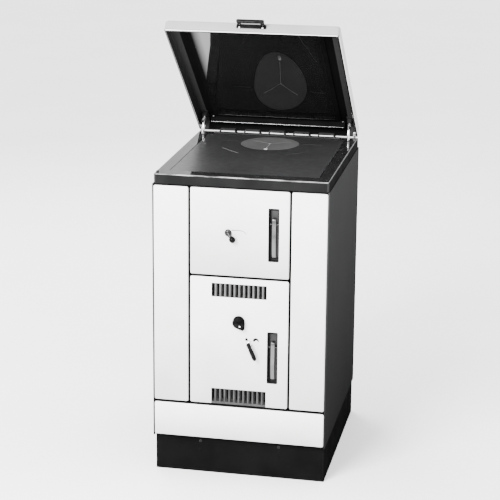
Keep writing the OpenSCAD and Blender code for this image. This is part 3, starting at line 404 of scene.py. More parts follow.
def grain(tree, scale, detail=3.0, rough=0.5, stretch=(1, 1, 1)):
    """Noise on the object's own coordinates, as a value."""
    mapping = add(tree, "Mapping", Scale=stretch)
    noise = add(tree, "TexNoise", Scale=scale, Detail=detail, Roughness=rough)
    tree.links.new(own_place(tree), mapping.inputs["Vector"])
    tree.links.new(mapping.outputs["Vector"], noise.inputs["Vector"])
    return noise.outputs["Fac"]


def span(tree, value, low, high, out_low=0, out_high=1):
    """Maps a value from one range to another, clamped."""
    node = add(tree, "MapRange")
    node.inputs["From Min"].default_value = low
    node.inputs["From Max"].default_value = high
    node.inputs["To Min"].default_value = out_low
    node.inputs["To Max"].default_value = out_high
    tree.links.new(value, node.inputs["Value"])
    return node.outputs["Result"]


def beyond(tree, value, low, high, out_low=0, out_high=1):
    """The same between two places given in millimetres."""
    return span(tree, value, mm(low), mm(high), out_low, out_high)


def clouds(tree, scale, detail, reach=0.15, rough=0.5):
    """Noise from 0 to 1, with reach to each side of its middle."""
    return span(tree, grain(tree, scale, detail, rough), 0.5 - reach, 0.5 + reach)


def roughen(tree, shader, scale, detail, low, high, reach=0.2):
    """Roughness that wanders between two values."""
    feed(tree, shader, "Roughness",
         span(tree, grain(tree, scale, detail), 0.5 - reach, 0.5 + reach, low, high))


def blend_colours(tree, value, dark, light):
    """A colour between two."""
    node = add(tree, "Mix", data_type="RGBA")
    for socket in node.inputs:
        if socket.type == "RGBA":
            socket.default_value = (*(dark if socket.name == "A" else light), 1)
    tree.links.new(value, node.inputs["Factor"])
    return [s for s in node.outputs if s.type == "RGBA"][0]


def tint_over(tree, value, base, colour):
    """Lays a colour over another as far as value says."""
    node = add(tree, "Mix", data_type="RGBA")
    sockets = [s for s in node.inputs if s.type == "RGBA"]
    tree.links.new(value, node.inputs["Factor"])
    tree.links.new(base, sockets[0])
    sockets[1].default_value = (*colour, 1)
    return [s for s in node.outputs if s.type == "RGBA"][0]


def emboss(tree, shader, *layers):
    """Stacks bumps: each layer is (value, strength, depth in millimetres)."""
    last = None
    for value, strength, depth in layers:
        bump = add(tree, "Bump", Strength=strength, Distance=mm(depth))
        tree.links.new(value, bump.inputs["Height"])
        if last:
            tree.links.new(last, bump.inputs["Normal"])
        last = bump.outputs["Normal"]
    feed(tree, shader, "Normal", last)
    return last


def closed_lid_place(tree):
    """Distance from the middle, depth and height of a point of the lid as it lies when closed."""
    lean = math.radians(LID_OPEN)
    axis_y, axis_z = mm(LID_AXIS[1]), mm(LID_AXIS[2])
    across, _, _, point = location(tree)
    turned_back = []
    for direction, start in (
            ((0, math.cos(lean), -math.sin(lean)),
             axis_y - axis_y * math.cos(lean) + axis_z * math.sin(lean)),
            ((0, math.sin(lean), math.cos(lean)),
             axis_z - axis_y * math.sin(lean) - axis_z * math.cos(lean))):
        along = add(tree, "VectorMath", operation="DOT_PRODUCT")
        tree.links.new(point, along.inputs[0])
        along.inputs[1].default_value = direction
        turned_back.append(calculate(tree, "ADD", along.outputs["Value"], start))
    return calculate(tree, "ABSOLUTE", across), *turned_back


def white_enamel(name, z0, z1):
    """Fired white enamel, painted darker towards the foot of each piece as painted shade, over a black ground coat
    on the back; its dark tone on the rounded returns is painted shade along the gaps.
    """
    material, tree, shader = new_material(name, spec=0.45, coat=0.2, coat_rough=0.05)
    _, y, z, _ = location(tree)
    # Painted shade: the white darkens towards the foot of the piece, with a little random tone.
    painted_shade_level = calculate(tree, "MULTIPLY_ADD", beyond(tree, z, z0, z1), 0.85,
                      span(tree, grain(tree, 9, 4), 0.3, 0.7, 0.0, 0.15))
    white = blend_colours(tree, painted_shade_level, ENAMEL_SHADED_FOOT, ENAMEL_HIGH)
    # Painted shade along the gaps: the rounded returns turn dark just behind the front; the back itself is the dark
    # ground coat.
    back = beyond(tree, y, FRONT + 0.8, FRONT + 3.4)
    feed(tree, shader, "Base Color", tint_over(tree, back, white, grey(0.014)))
    roughen(tree, shader, 60, 2, 0.16, 0.24)
    emboss(tree, shader, (grain(tree, 420, 2), 0.12, 0.05), (grain(tree, 7, 1), 0.25, 0.6))
    return material


def painted(name, dark, light, rough, scale, peel, spec):
    """Sprayed or fired coating with a fine peel and slight cloudiness."""
    material, tree, shader = new_material(name, spec=spec)
    feed(tree, shader, "Base Color", blend_colours(tree, clouds(tree, scale, 4), grey(dark), grey(light)))
    roughen(tree, shader, scale * 2.3, 3, rough * 0.85, rough * 1.2)
    emboss(tree, shader, (grain(tree, 600, 2), peel, 0.06))
    return material


def side_finish(name, low, high):
    """Matt fired side panel, painted a little darker towards the floor as painted shade, with a very fine grit."""
    material, tree, shader = new_material(name, spec=0.0)
    # Painted shade: darker towards the floor, lighter towards the top.
    painted_shade_level = product(tree, beyond(tree, location(tree)[2], 120, 820),
                    span(tree, grain(tree, 5, 3), 0.35, 0.65, 0.92, 1.0))
    feed(tree, shader, "Base Color", blend_colours(tree, painted_shade_level, low, high))
    roughen(tree, shader, 180, 3, 0.55, 0.7)
    emboss(tree, shader, (grain(tree, 700, 2), 0.05, 0.03))
    return material


def hob_enamel(name):
    """Black fired enamel of the hob: wavy gloss on top, a painted highlight along the front edge, dull on the outer
    faces.
    """
    material, tree, shader = new_material(name, spec=0.0, coat_rough=0.06)
    black = blend_colours(tree, clouds(tree, 14, 4), grey(0.0075, 0.0077), grey(0.0105, 0.0107))
    x, y, z, _ = location(tree)
    # Painted highlight: a broken, wavy light line along the front top edge.
    painted_light = product(tree, beyond(tree, y, -283.6, -281.6, 1, 0), beyond(tree, z, HOB_TOP - 3.4, HOB_TOP - 1.8),
                   span(tree, grain(tree, 30, 3, 0.6, (0.6, 6, 6)), 0.4, 0.62, 0.1, 1))
    feed(tree, shader, "Base Color", tint_over(tree, painted_light, black, grey(0.34)))
    roughen(tree, shader, 40, 3, 0.1, 0.16)
    gloss = beyond(tree, calculate(tree, "ABSOLUTE", x), HALF_WIDTH - 1.8, HALF_WIDTH - 0.2, 0.48, 0.0)
    feed(tree, shader, "Coat Weight", product(tree, gloss, beyond(tree, y, -284.9, -284.4)))
    emboss(tree, shader, (grain(tree, 600, 2), 0.05, 0.05), (grain(tree, 13, 2, 0.5, (1, 3, 3)), 0.5, 1.6))
    return material


def lining_finish(name, painted_light):
    """Matt black enamel inside the lid, painted lighter along its sides and on its side walls as a painted
    reflection.
    """
    material, tree, shader = new_material(name, spec=0.0)
    black = blend_colours(tree, clouds(tree, 6, 3), *GROUND_COAT)
    # Painted reflection: a lighter tone along the sides and on the side walls.
    sides = beyond(tree, closed_lid_place(tree)[0], LINING_EDGE - 0.5, LINING_EDGE)
    feed(tree, shader, "Base Color", tint_over(tree, sides, black, grey(painted_light)))
    roughen(tree, shader, 9, 3, 0.24, 0.4, 0.15)
    emboss(tree, shader, (grain(tree, 4, 1), 0.03, 0.2))
    return material


def panel_finish(name):
    """Polished black enamel of the heat panel, dull along its edges, hollow like a pressed sheet."""
    material, tree, shader = new_material(name, rough=0.4, spec=0.0, coat_rough=0.03, coat_ior=1.78)
    across, depth, _ = closed_lid_place(tree)
    feed(tree, shader, "Base Color", blend_colours(tree, clouds(tree, 6, 3), *GROUND_COAT))
    feed(tree, shader, "Coat Weight", product(
        tree, beyond(tree, across, PANEL_X - 38, PANEL_X - 10, 1, 0),
        beyond(tree, depth, PANEL_Y[1] - 3, PANEL_Y[1] - 2, 1, 0)))
    offset = calculate(tree, "SUBTRACT", depth, mm(BOW_MIDDLE))
    normal = emboss(tree, shader, (grain(tree, 4, 1), 0.03, 0.2),
                    (product(tree, offset, offset), 1.0, BOW_DEPTH))
    feed(tree, shader, "Coat Normal", normal)
    return material


def lid_enamel(name):
    """Light grey enamel of the lid with a painted highlight along its lower lip and a painted shade line just above
    it, and its black ground coat on the hem.
    """
    material, tree, shader = new_material(name, spec=0.3)
    base = blend_colours(tree, clouds(tree, 8, 4), grey(0.23), grey(0.27))
    across, depth, rise = closed_lid_place(tree)
    # Painted shade: a dark band just above the lip.
    base = tint_over(tree, beyond(tree, rise, LID_LOW + 3.4, LID_LOW + 4.4, 0.7, 0), base, grey(0.03))
    # Painted highlight: a white line along the lower lip.
    base = tint_over(tree, beyond(tree, rise, LID_LOW + 1.9, LID_LOW + 2.5, 1, 0), base, grey(0.8))
    hem = product(tree, beyond(tree, rise, LID_LOW + 3.2, LID_LOW + 3.4, 1, 0),
                  beyond(tree, depth, FRONT + 1.0, FRONT + 1.5),
                  beyond(tree, depth, HALF_DEPTH - 1.5, HALF_DEPTH - 1, 1, 0),
                  beyond(tree, across, HALF_WIDTH - 1.4, HALF_WIDTH - 0.9, 1, 0))
    feed(tree, shader, "Base Color", tint_over(tree, hem, base, grey(0.006)))
    roughen(tree, shader, 20, 3, 0.14, 0.2)
    emboss(tree, shader, (grain(tree, 600, 2), 0.06, 0.06), (grain(tree, 14, 1), 0.15, 1.2))
    return material


def metal_finish(name, colour, rough, lines=None, bump=0.05, tint=0.8):
    """Bare or plated metal, with drawing lines along an axis if lines is given."""
    material, tree, shader = new_material(name, metal=1.0)
    dark = tuple(c * tint for c in colour)
    feed(tree, shader, "Base Color", blend_colours(tree, clouds(tree, 30, 5, 0.2), dark, colour))
    stretch = {"x": (1, 60, 60), "y": (60, 1, 60), "z": (60, 60, 1)}.get(lines, (25, 25, 25))
    streak = grain(tree, 12, 4, 0.6, stretch)
    feed(tree, shader, "Roughness", span(tree, streak, 0.3, 0.7, rough * 0.75, rough * 1.3))
    emboss(tree, shader, (streak, bump, 0.05))
    return material


def cast_finish(name, dark, light, rough, pit, rust=None):
    """Sand-cast iron: grainy, pitted, with a dusting of another colour in the hollows."""
    material, tree, shader = new_material(name)
    base = blend_colours(tree, clouds(tree, 35, 6), dark, light)
    if rust:
        base = tint_over(tree, span(tree, grain(tree, 12, 6, 0.7), 0.55, 0.75, 0, 0.6), base, rust)
    feed(tree, shader, "Base Color", base)
    roughen(tree, shader, 90, 3, rough * 0.85, min(1, rough * 1.15))
    emboss(tree, shader, (grain(tree, 380, 4, 0.7), pit, 0.35), (grain(tree, 70, 3), pit * 0.5, 0.5))
    return material


def ground_finish(name, dark, light, rough, spec, metal, painted_highlight_tone):
    """Ground hob iron: fine grinding lines in arcs, clouds from heat, and a painted highlight on the faces just
    below the top, inside its slots and on its edges.
    """
    material, tree, shader = new_material(name, spec=spec, metal=metal)
    _, _, z, point = location(tree)
    base = blend_colours(tree, clouds(tree, 6, 5, 0.2, 0.6), dark, light)
    # Painted highlight: a light tone on every face just below the top, in the slots and on the edges.
    inside = beyond(tree, z, HOB_TOP - 1.2, HOB_TOP - 0.85, 1, 0)
    feed(tree, shader, "Base Color", tint_over(tree, inside, base, grey(painted_highlight_tone)))
    mapping = add(tree, "Mapping", Location=(0, -mm(RING_Y), 0))
    rings = add(tree, "TexWave", wave_type="RINGS", rings_direction="Z", Scale=180.0,
                Distortion=6.0)
    rings.inputs["Detail"].default_value = 3
    rings.inputs["Detail Scale"].default_value = 3
    tree.links.new(point, mapping.inputs["Vector"])
    tree.links.new(mapping.outputs["Vector"], rings.inputs["Vector"])
    roughen(tree, shader, 60, 4, rough * 0.92, rough * 1.1)
    emboss(tree, shader, (rings.outputs["Fac"], 0.04, 0.02), (grain(tree, 700, 3), 0.12, 0.03))
    return material


def brick_finish(name):
    """Pressed fire clay with sooty patches and open pores."""
    material, tree, shader = new_material(name, rough=0.93)
    clay = blend_colours(tree, clouds(tree, 50, 6, 0.15, 0.7), (0.36, 0.27, 0.17), (0.58, 0.47, 0.33))
    soot = span(tree, grain(tree, 9, 5, 0.6), 0.5, 0.72, 0, 0.8)
    feed(tree, shader, "Base Color", tint_over(tree, soot, clay, (0.05, 0.042, 0.035)))
    emboss(tree, shader, (grain(tree, 260, 5, 0.8), 0.7, 0.6))
    return material


def plastic_finish(name, tone, rough, peel=0.1, spec=0.5):
    """Moulded plastic, rubber or mark paint with a fine mould texture."""
    material, tree, shader = new_material(name, spec=spec)
    light = min(1, tone * 1.6 + 0.004)
    feed(tree, shader, "Base Color", blend_colours(tree, clouds(tree, 80, 3), grey(tone), grey(light)))
    roughen(tree, shader, 150, 3, rough * 0.8, rough * 1.25)
    emboss(tree, shader, (grain(tree, 900, 2), peel, 0.05))
    return material


def rope_finish(name):
    """Knitted glass-fibre cord: crossing strands that follow the piece's own map."""
    material, tree, shader = new_material(name, rough=0.95, sheen=0.3)
    place = add(tree, "TexCoord")
    waves = []
    for slant in (45, -45):
        mapping = add(tree, "Mapping", Rotation=(0, 0, math.radians(slant)))
        tree.links.new(place.outputs["UV"], mapping.inputs["Vector"])
        wave = add(tree, "TexWave", Scale=1.0)
        tree.links.new(mapping.outputs["Vector"], wave.inputs["Vector"])
        waves.append(wave.outputs["Fac"])
    weave = calculate(tree, "MAXIMUM", *waves)
    feed(tree, shader, "Base Color", blend_colours(tree, weave, (0.22, 0.19, 0.15), (0.62, 0.57, 0.48)))
    emboss(tree, shader, (weave, 0.8, 0.7), (grain(tree, 700, 3), 0.3, 0.2))
    return material


side_grey = side_finish("side_enamel_paint", grey(0.010, 0.0102), grey(0.027, 0.0274))
plinth_black = painted("plinth_paint", 0.0030, 0.0040, 0.62, 14, 0.2, 0.0)
sheet_black = painted("stove_paint", 0.0115, 0.0125, 0.6, 60, 0.3, 0.03)
rail_black = painted("vent_rail_enamel", 0.024, 0.032, 0.4, 20, 0.1, 0.0)
cup_black = painted("cup_paint", 0.006, 0.012, 0.4, 40, 0.2, 0.1)
# The two grilles share one paint; the lower one is a darker copy, painted shade near the foot of the door.
grille_upper = painted("grille_paint_upper", 0.07, 0.10, 0.45, 60, 0.3, 0.15)
grille_lower_shaded = painted("grille_paint_lower", 0.028, 0.045, 0.45, 60, 0.3, 0.12)
hob_gloss = hob_enamel("hob_enamel_gloss")
lid_grey = lid_enamel("lid_enamel")
lining_black = lining_finish("lid_lining_enamel", 0.022)
panel_black = panel_finish("lid_panel_enamel")
hob_iron = ground_finish("hob_plate_iron", grey(0.016, 0.0164), grey(0.022, 0.0224), 0.34, 0.05, 0.05, 0.3)
ring_iron = ground_finish("ring_cover_iron", grey(0.15), grey(0.20), 0.36, 0.4, 0.7, 0.7)
cast_black = cast_finish("cast_iron_black", grey(0.010), (0.028, 0.027, 0.026), 0.7, 0.5)
grate_iron = cast_finish("grate_iron", (0.014, 0.013, 0.012), (0.035, 0.032, 0.03), 0.75, 0.6,
                         (0.09, 0.05, 0.03))
zinc = metal_finish("zinc_plate", grey(0.26, 0.265), 0.32, "y", 0.08)
chrome = metal_finish("chrome_plate", grey(0.82, 0.83), 0.09, None, 0.01, 0.93)
nickel = metal_finish("hub_nickel", grey(0.032, 0.0325), 0.24, None, 0.03)
bright_steel = metal_finish("bright_steel", grey(0.70, 0.71), 0.2, "x")
liner_steel = metal_finish("cup_liner_steel", grey(0.04, 0.0405), 0.42, "z", 0.1)
lever_chrome = metal_finish("lever_chrome", grey(0.12, 0.122), 0.2, "z", 0.03)
knob_black = plastic_finish("knob_plastic", 0.0022, 0.36, 0.1, 0.0)
grip_black = plastic_finish("grip_plastic", 0.0014, 0.22, 0.1, 0.05)
rubber_black = plastic_finish("buffer_rubber", 0.004, 0.7, 0.25, 0.05)
mark_white = plastic_finish("mark_paint", 0.75, 0.4)
mark_grey = plastic_finish("scale_paint", 0.12, 0.4)
fire_clay = brick_finish("fire_clay")
seal_rope = rope_finish("seal_rope_knit")

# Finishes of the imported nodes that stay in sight
NODE_FINISH = (
    (plinth_black, "plinth"), (side_grey, "side_panel_left", "side_panel_right"), (hob_gloss, "hob_frame"),
    (sheet_black, "base_plate", "back_panel", "face_plate", "door_hinge_plates", "firebox_walls", "ash_floor",
     "ash_pan", "drawer_box"),
    (zinc, "latch_keepers", "lid_hinge_lugs", "shaker_rod", "drawer_runners", "drawer_slides",
     "fuel_door_pins",
     "ash_door_pins", "draught_spindle", "lid_hinge_pins"),
    (hob_iron, "hob_plate"), (ring_iron, "ring_cover"), (rail_black, "rear_vent_rail"),
    (grate_iron, "grate_shelf", "grate"), (fire_clay, "firebricks"),
    (cast_black, "flue_collar", "fuel_door_casting", "ash_door_casting"),
    (nickel, "fuel_handle_pin", "ash_handle_pin"),
)
for material, *names in NODE_FINISH:
    for node_name in names:
        mesh = nodes[node_name].data
        if mesh.materials:
            for index in range(len(mesh.materials)):
                mesh.materials[index] = material
        else:
            mesh.materials.append(material)


# Enamelled fronts
def enamel_front(name, x0, x1, z0, z1, depth):
    """A pressed pan: rounded front and corners, open at the back."""
    pan = block(name, x0, x1, FRONT, FRONT + depth, z0, z1)
    open_face(pan, lambda c, n: n.y > 0.9)
    round_edges(pan, lengthwise, 5.0, 6)
    round_edges(pan, lambda a, b: a.y < FRONT + 0.1 and b.y < FRONT + 0.1, 3.2, 6)
    thicken(pan, 1.5)
    return pan


def window(x0, x1, z0, z1, radius):
    """A tool that cuts a window with rounded corners through a front."""
    tool = block("tool", x0, x1, FRONT - 3, PAN_BACK + 4, z0, z1)
    return round_edges(tool, lengthwise, radius, 4)


def cup_window(z):
    """The window of a handle cup at this height."""
    return window(CUP_X - 14.6, CUP_X + 14.6, z - CUP_HALF_HEIGHT, z + CUP_HALF_HEIGHT, 2.5)


def drill(place):
    """A drill for the spindle of an air control."""
    tool = turned("tool", [(3.2, 0), (3.2, 12)], 32)
    return put(tool, (place[0], FRONT - 4, place[1]), (0, 1, 0))


for side, x0, x1 in (("left", -SIDE_EDGE, -SIDE_INNER_EDGE), ("right", SIDE_INNER_EDGE, SIDE_EDGE)):
    name = "front_sheet_" + side
    panel = smooth(enamel_front(name, x0, x1, ASH_DOOR_Z[0], FUEL_DOOR_Z[1], 32))
    wear(panel, white_enamel(name + "_enamel", ASH_DOOR_Z[0], FUEL_DOOR_Z[1]), "stove", "white_enamel",
         "front_panel_" + side)

drawer_sheet = smooth(enamel_front("drawer_sheet", -SIDE_EDGE, SIDE_EDGE, *DRAWER_Z, 18))
wear(drawer_sheet, white_enamel("drawer_enamel", *DRAWER_Z), "drawer", "white_enamel", "drawer_front")

fuel_sheet = enamel_front("fuel_door_sheet", -DOOR_EDGE, DOOR_EDGE, *FUEL_DOOR_Z, 18)
carve(fuel_sheet, cup_window(FUEL_CUP_Z), drill(SECONDARY))
wear(smooth(fuel_sheet), white_enamel("fuel_door_enamel", *FUEL_DOOR_Z), "fuel_door", "white_enamel",
     "fuel_door_panel")

ash_sheet = enamel_front("ash_door_sheet", -DOOR_EDGE, DOOR_EDGE, *ASH_DOOR_Z, 18)
carve(ash_sheet, cup_window(ASH_CUP_Z), window(-76.5, 76.5, 525, 564, 1.2),
      window(-76.5, 76.5, 206, 260, 1.2), drill(DRAUGHT), drill(PRIMARY))
wear(smooth(ash_sheet), white_enamel("ash_door_enamel", *ASH_DOOR_Z), "ash_door", "white_enamel",
     "ash_door_panel")


# Handle cups and levers
def handle_cup(name, z, body, node):
    """Drawn steel cup with a rolled rim, round corners and the latch's slot in its back."""
    cup = block(name, CUP_X - 14.9, CUP_X + 14.9, FRONT - 0.5, PLINTH_FRONT, z - 74.4, z + 74.4)
    round_edges(cup, lengthwise, 3.4, 5)
    edit_faces(cup, lambda c, n: n.y < -0.9)
    bpy.ops.mesh.inset(thickness=mm(1.1))
    bpy.ops.mesh.extrude_region_move(TRANSFORM_OT_translate={"value": (0, mm(18.0), 0)})
    bpy.ops.transform.resize(value=(0.955, 1, 0.992), center_override=mm(CUP_X, 0, z))
    leave()
    round_edges(cup, lambda a, b: a.y > -274 and b.y > -274 and a.y < -272.2 and b.y < -272.2, 1.6, 3)
    round_edges(cup, lambda a, b: a.y < FRONT - 0.4 and b.y < FRONT - 0.4, 0.4, 2)
    carve(cup, block("tool", CUP_X - 4, CUP_X + 4, -275, -269, z + PIVOT_RISE - 13, z + PIVOT_RISE + 6))
    # Painted shadow: the cup is black and its grey liner stops short of the top and bottom, so dark strips lie
    # where the rim's shadow falls.
    wear(smooth(cup), cup_black, body, "zinc_steel", node)
    liner = block(name + "_liner", CUP_X - 11.4, CUP_X + 11.4, -274.6, -273.2, z - 65.5, z + 65.0)
    round_edges(liner, lengthwise, 2.0, 4)
    carve(liner, block("tool", CUP_X - 4, CUP_X + 4, -277, -271, z + PIVOT_RISE - 13, z + PIVOT_RISE + 6))
    return wear(smooth(soften(liner, 0.3)), liner_steel, body, "zinc_steel")


def handle_lever(name, z, body, node):
    """Pressed lever: hub on its pin, a bowed grip with turned-back sides and the latch behind."""
    pz = z + PIVOT_RISE
    side = [(-6.2, 2), (-6.0, 9), (-4.8, 14), (-2.6, 15.5), (-0.6, 13), (1.2, 7), (2.2, 0), (0.6, -12),
            (-1.6, -30), (-2.4, -50), (-1.6, -70), (0.4, -86), (0.6, -91), (-1.4, -92.2), (-4.4, -91.4),
            (-6.0, -84), (-7.6, -68), (-8.4, -50), (-7.6, -32), (-6.2, -18), (-6.6, -8)]
    grip = outline_plate(name, side, 10.6)
    grip.matrix_world = Matrix.Translation(mm(CUP_X - 5.3, PIVOT_Y, pz)) @ Matrix(
        ((0, 0, 1, 0), (1, 0, 0, 0), (0, 1, 0, 0), (0, 0, 0, 1)))
    settle(grip)
    edit_faces(grip, lambda c, n: abs(n.x) > 0.9)
    bpy.ops.mesh.inset(thickness=mm(1.5))
    bpy.ops.transform.resize(value=(0.55, 1, 1), center_override=mm(CUP_X, 0, pz))
    leave()
    soften(grip, 2.0, 5, 28)
    hub = put(turned("hub", [(5.0, -6.2), (6.1, -5.4), (6.3, -4.6), (6.3, 4.6), (6.1, 5.4), (5.0, 6.2)], 40),
              (CUP_X, PIVOT_Y, pz), (1, 0, 0))
    latch = soften(block("latch", CUP_X - 3, CUP_X + 3, PIVOT_Y, -261, pz - 4, pz + 4), 0.6)
    lever = join(name, grip, hub, latch)
    return wear(smooth(lever, 40), lever_chrome, body, "chromed", node)


handle_cup("fuel_cup_drawn", FUEL_CUP_Z, "fuel_door", "fuel_handle_cup")
handle_cup("ash_cup_drawn", ASH_CUP_Z, "ash_door", "ash_handle_cup")
handle_lever("fuel_lever_pressed", FUEL_CUP_Z, "fuel_lever", "fuel_handle_lever")
handle_lever("ash_lever_pressed", ASH_CUP_Z, "ash_lever", "ash_handle_lever")


# Grilles
def grille(name, z, low_edge, node, paint):
    """Pressed insert: upright fins with rounded fronts between two rails."""
    plate = block(name, -81, 81, FRONT + 1.6, FRONT + 3.1, low_edge, z + 44)
    slots, fins = [], []
    for i in range(SLOTS):
        x = SLOTS_START + i * SLOT_PITCH
        slot = block("tool", x, x + SLOT_WIDTH, FRONT, FRONT + 5, z, z + SLOT_HEIGHT)
        slots.append(round_edges(slot, lengthwise, 1.2, 3))
    carve(plate, join("tool", *slots))
    for i in range(SLOTS - 1):
        x = SLOTS_START + i * SLOT_PITCH + SLOT_WIDTH
        fin = block("fin", x + 0.2, x + 4.9, FRONT + 0.6, FRONT + 9, z - 1, z + SLOT_HEIGHT + 1)
        fins.append(round_edges(fin, lambda a, b: a.y < FRONT + 1 and b.y < FRONT + 1, 0.8, 3))
    return wear(smooth(join(name, plate, *fins)), paint, "ash_door", "grille_grey", node)


grille("upper_grille_fins", 525, 520, "upper_grille", grille_upper)
grille("lower_grille_fins", 221, 214.6, "lower_grille", grille_lower_shaded)


# Air controls
def air_spindle(place):
    """Spindle through the door with its air disc behind the front."""
    y0 = FRONT - 0.2
    length = PAN_BACK - 3 - y0
    return put(turned("spindle", [(3, 0), (3, length - 2), (15, length - 2), (15, length)], 40),
               (place[0], y0, place[1]), (0, 1, 0))


# Secondary air: domed hub on a rose, a stem and a ball that stands clear of the door
x, z = SECONDARY
angle = math.radians(-50)
hub = put(turned("hub", [(10, 0), (10, 0.7), (9.6, 1.1), (8, 1.3), (8, 5.0), (7.7, 6.0), (6.8, 6.8), (4, 7.3),
                         (1, 7.4)], 48), (x, FRONT - 0.3, z), (0, -1, 0))
stem_from = Vector((x, FRONT - 4.2, z))
ball_at = Vector((x + 20.5 * math.cos(angle), FRONT - 11, z + 20.5 * math.sin(angle)))
stem = put(turned("stem", [(4.9, 0), (4.2, (ball_at - stem_from).length - 4)], 24), stem_from,
           ball_at - stem_from)
wear(smooth(join("secondary_hub_stem", hub, stem, air_spindle(SECONDARY))), nickel,
     "secondary_air", "chromed", "secondary_air_lever")
ball_rings = [(8.6 * math.cos(a), 8.6 * math.sin(a) * 1.12)
              for a in [math.radians(-84 + 168 * i / 14) for i in range(15)]]
ball = put(turned("secondary_ball_moulded", ball_rings, 40), ball_at, ball_at - stem_from)
wear(smooth(ball, 60), grip_black, "secondary_air", "black_plastic", "secondary_air_ball")

# Draught knob: a skirted teardrop whose raised rim runs to the pointer, with a white dot near the tip
x, z = DRAUGHT
radius, tip, turn = 15.6, 26.2, math.radians(-56)
flank = math.acos(radius / tip)
drop = [(tip - 0.8, -0.9), (tip - 0.8, 0.9)] + [
    (radius * math.cos(a), radius * math.sin(a))
    for a in [flank + (2 * math.pi - 2 * flank) * i / 44 for i in range(45)]]
drop = [(a * math.cos(turn) - b * math.sin(turn), a * math.sin(turn) + b * math.cos(turn)) for a, b in drop]
knob = outline_plate("draught_knob_moulded", drop, 15.0)
edit_faces(knob, lambda c, n: n.z > 0.9)
bpy.ops.mesh.inset(thickness=mm(1.4))
bpy.ops.transform.translate(value=(0, 0, mm(1.2)))
bpy.ops.mesh.inset(thickness=mm(3.4))
bpy.ops.transform.translate(value=(0, 0, mm(-1.3)))
leave()
soften(knob, 0.45, 2, 40)
skirt = soften(outline_plate("skirt", [(a * 1.06, b * 1.06) for a, b in drop], 2.4), 0.6, 2, 60)
wear(smooth(put(join("draught_knob_moulded", knob, skirt), (x, FRONT - 0.3, z), (0, -1, 0)), 35), knob_black,
     "draught", "black_plastic", "draught_knob")
dot = put(turned("knob_dot", [(1.9, -0.6), (1.9, 0.25), (1.6, 0.45), (0.4, 0.5)], 24),
          (x + 9.2 * math.cos(turn), FRONT - 15.2, z + 11.5 * math.sin(turn)), (0, -1, 0))
wear(smooth(dot), mark_white, "draught", "black_plastic")

# Primary air: stepped hub and a tapered grip that lies along the door
x, z = PRIMARY
hub = put(turned("hub", [(9.2, 0), (9.2, 0.7), (8.8, 1.1), (7.5, 1.3), (7.5, 7.4), (7.2, 8.3), (6.2, 8.9),
                         (3, 9.1), (1, 9.15)], 48), (x, FRONT - 0.3, z), (0, -1, 0))
wear(smooth(join("primary_hub_turned", hub, air_spindle(PRIMARY))), chrome, "primary_air", "chromed",
     "primary_air_lever")
grip_turn = math.radians(-66)
grip = turned("primary_grip_moulded", [(2.2, -5.6), (4.2, -4.6), (5.3, -2.6), (5.7, 0), (5.6, 6), (5.0, 9),
                                       (5.0, 11), (5.6, 13), (6.0, 20), (6.1, 32), (5.9, 40), (5.2, 44),
                                       (3.8, 46.8), (1.6, 48)], 40)
put(grip, (x + 0.6, FRONT - 14.2, z), (math.cos(grip_turn), 0, math.sin(grip_turn)))
wear(smooth(grip, 60), grip_black, "primary_air", "black_plastic", "primary_air_grip")


def bend(points, steps=6):
    """A smooth line through points."""
    line = []
    for i in range(len(points) - 1):
        p0, p1 = points[max(i - 1, 0)], points[i]
        p2, p3 = points[i + 1], points[min(i + 2, len(points) - 1)]
        for k in range(steps):
            u = k / steps
            line.append(tuple(
                0.5 * (2 * b + (c - a) * u + (2 * a - 5 * b + 4 * c - d) * u * u + (3 * b - a - 3 * c + d) * u ** 3)
                for a, b, c, d in zip(p0, p1, p2, p3)))
    line.append(tuple(points[-1]))
    return line


def printed_arc(name, place, bends, width_at):
    """A printed scale mark: a line through bends, whose width changes with the share of its length."""
    points = bend(bends)
    outline, back = [], []
    for i, point in enumerate(points):
        width = width_at(i / (len(points) - 1))
        before = Vector(points[max(i - 1, 0)])
        after = Vector(points[min(i + 1, len(points) - 1)])
        along_line = (after - before).normalized()
        normal = Vector((-along_line.y, along_line.x))
        outline.append(tuple(Vector(point) + normal * width / 2))
        back.append(tuple(Vector(point) - normal * width / 2))
    mark = outline_plate(name, outline + back[::-1], 0.25)
    return put(mark, (place[0], FRONT + 0.05, place[1]), (0, -1, 0))


wear(printed_arc("secondary_scale_mark", SECONDARY, [(9.5, 7.8), (24, 8.2), (38, 7.0), (46, 2.8), (50, -2.6)],
                 lambda share: 2.8 - 1.9 * share), mark_grey, "fuel_door", "grille_grey")
wear(printed_arc("primary_scale_mark", PRIMARY,
                 [(12.6, 6.4), (14.6, 11.4), (19.0, 13.6), (23.6, 11.8), (26.4, 6.8)],
                 lambda share: 1.8 + 5.4 * math.sin(math.pi * share ** 0.7)),
     knob_black, "ash_door", "black_plastic")
mark = put(turned("primary_scale_dot", [(4.0, 0), (4.0, 0.2), (2.8, 0.3)], 24), (21.6, FRONT + 0.05, 408.2),
           (0, -1, 0))
wear(mark, knob_black, "ash_door", "black_plastic")


# Fasteners
def once(s, node):
    """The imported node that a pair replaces, named by the right-hand piece only."""
    return [node] if s == 1 else []


def screw_head(name, diameter, rise, cross=True):
    """Pan-head screw with a cross recess, made round Z."""
    radius = diameter / 2
    head = turned(name, [(radius, 0), (radius, rise * 0.35)] +
                  [(radius * math.cos(a), rise * (0.35 + 0.65 * math.sin(a)))
                   for a in [math.radians(80) * i / 5 for i in range(1, 6)]], 32)
    if cross:
        slot = diameter * 0.16
        reach = diameter * 0.3
        bars = []
        for spin in (0, 90):
            bar = block("bar", -reach, reach, -slot / 2, slot / 2, rise * 0.35, rise * 1.5)
            bars.append(put(bar, (0, 0, 0), (0, 0, 1), spin))
        carve(head, *bars)
    return smooth(head, 35)


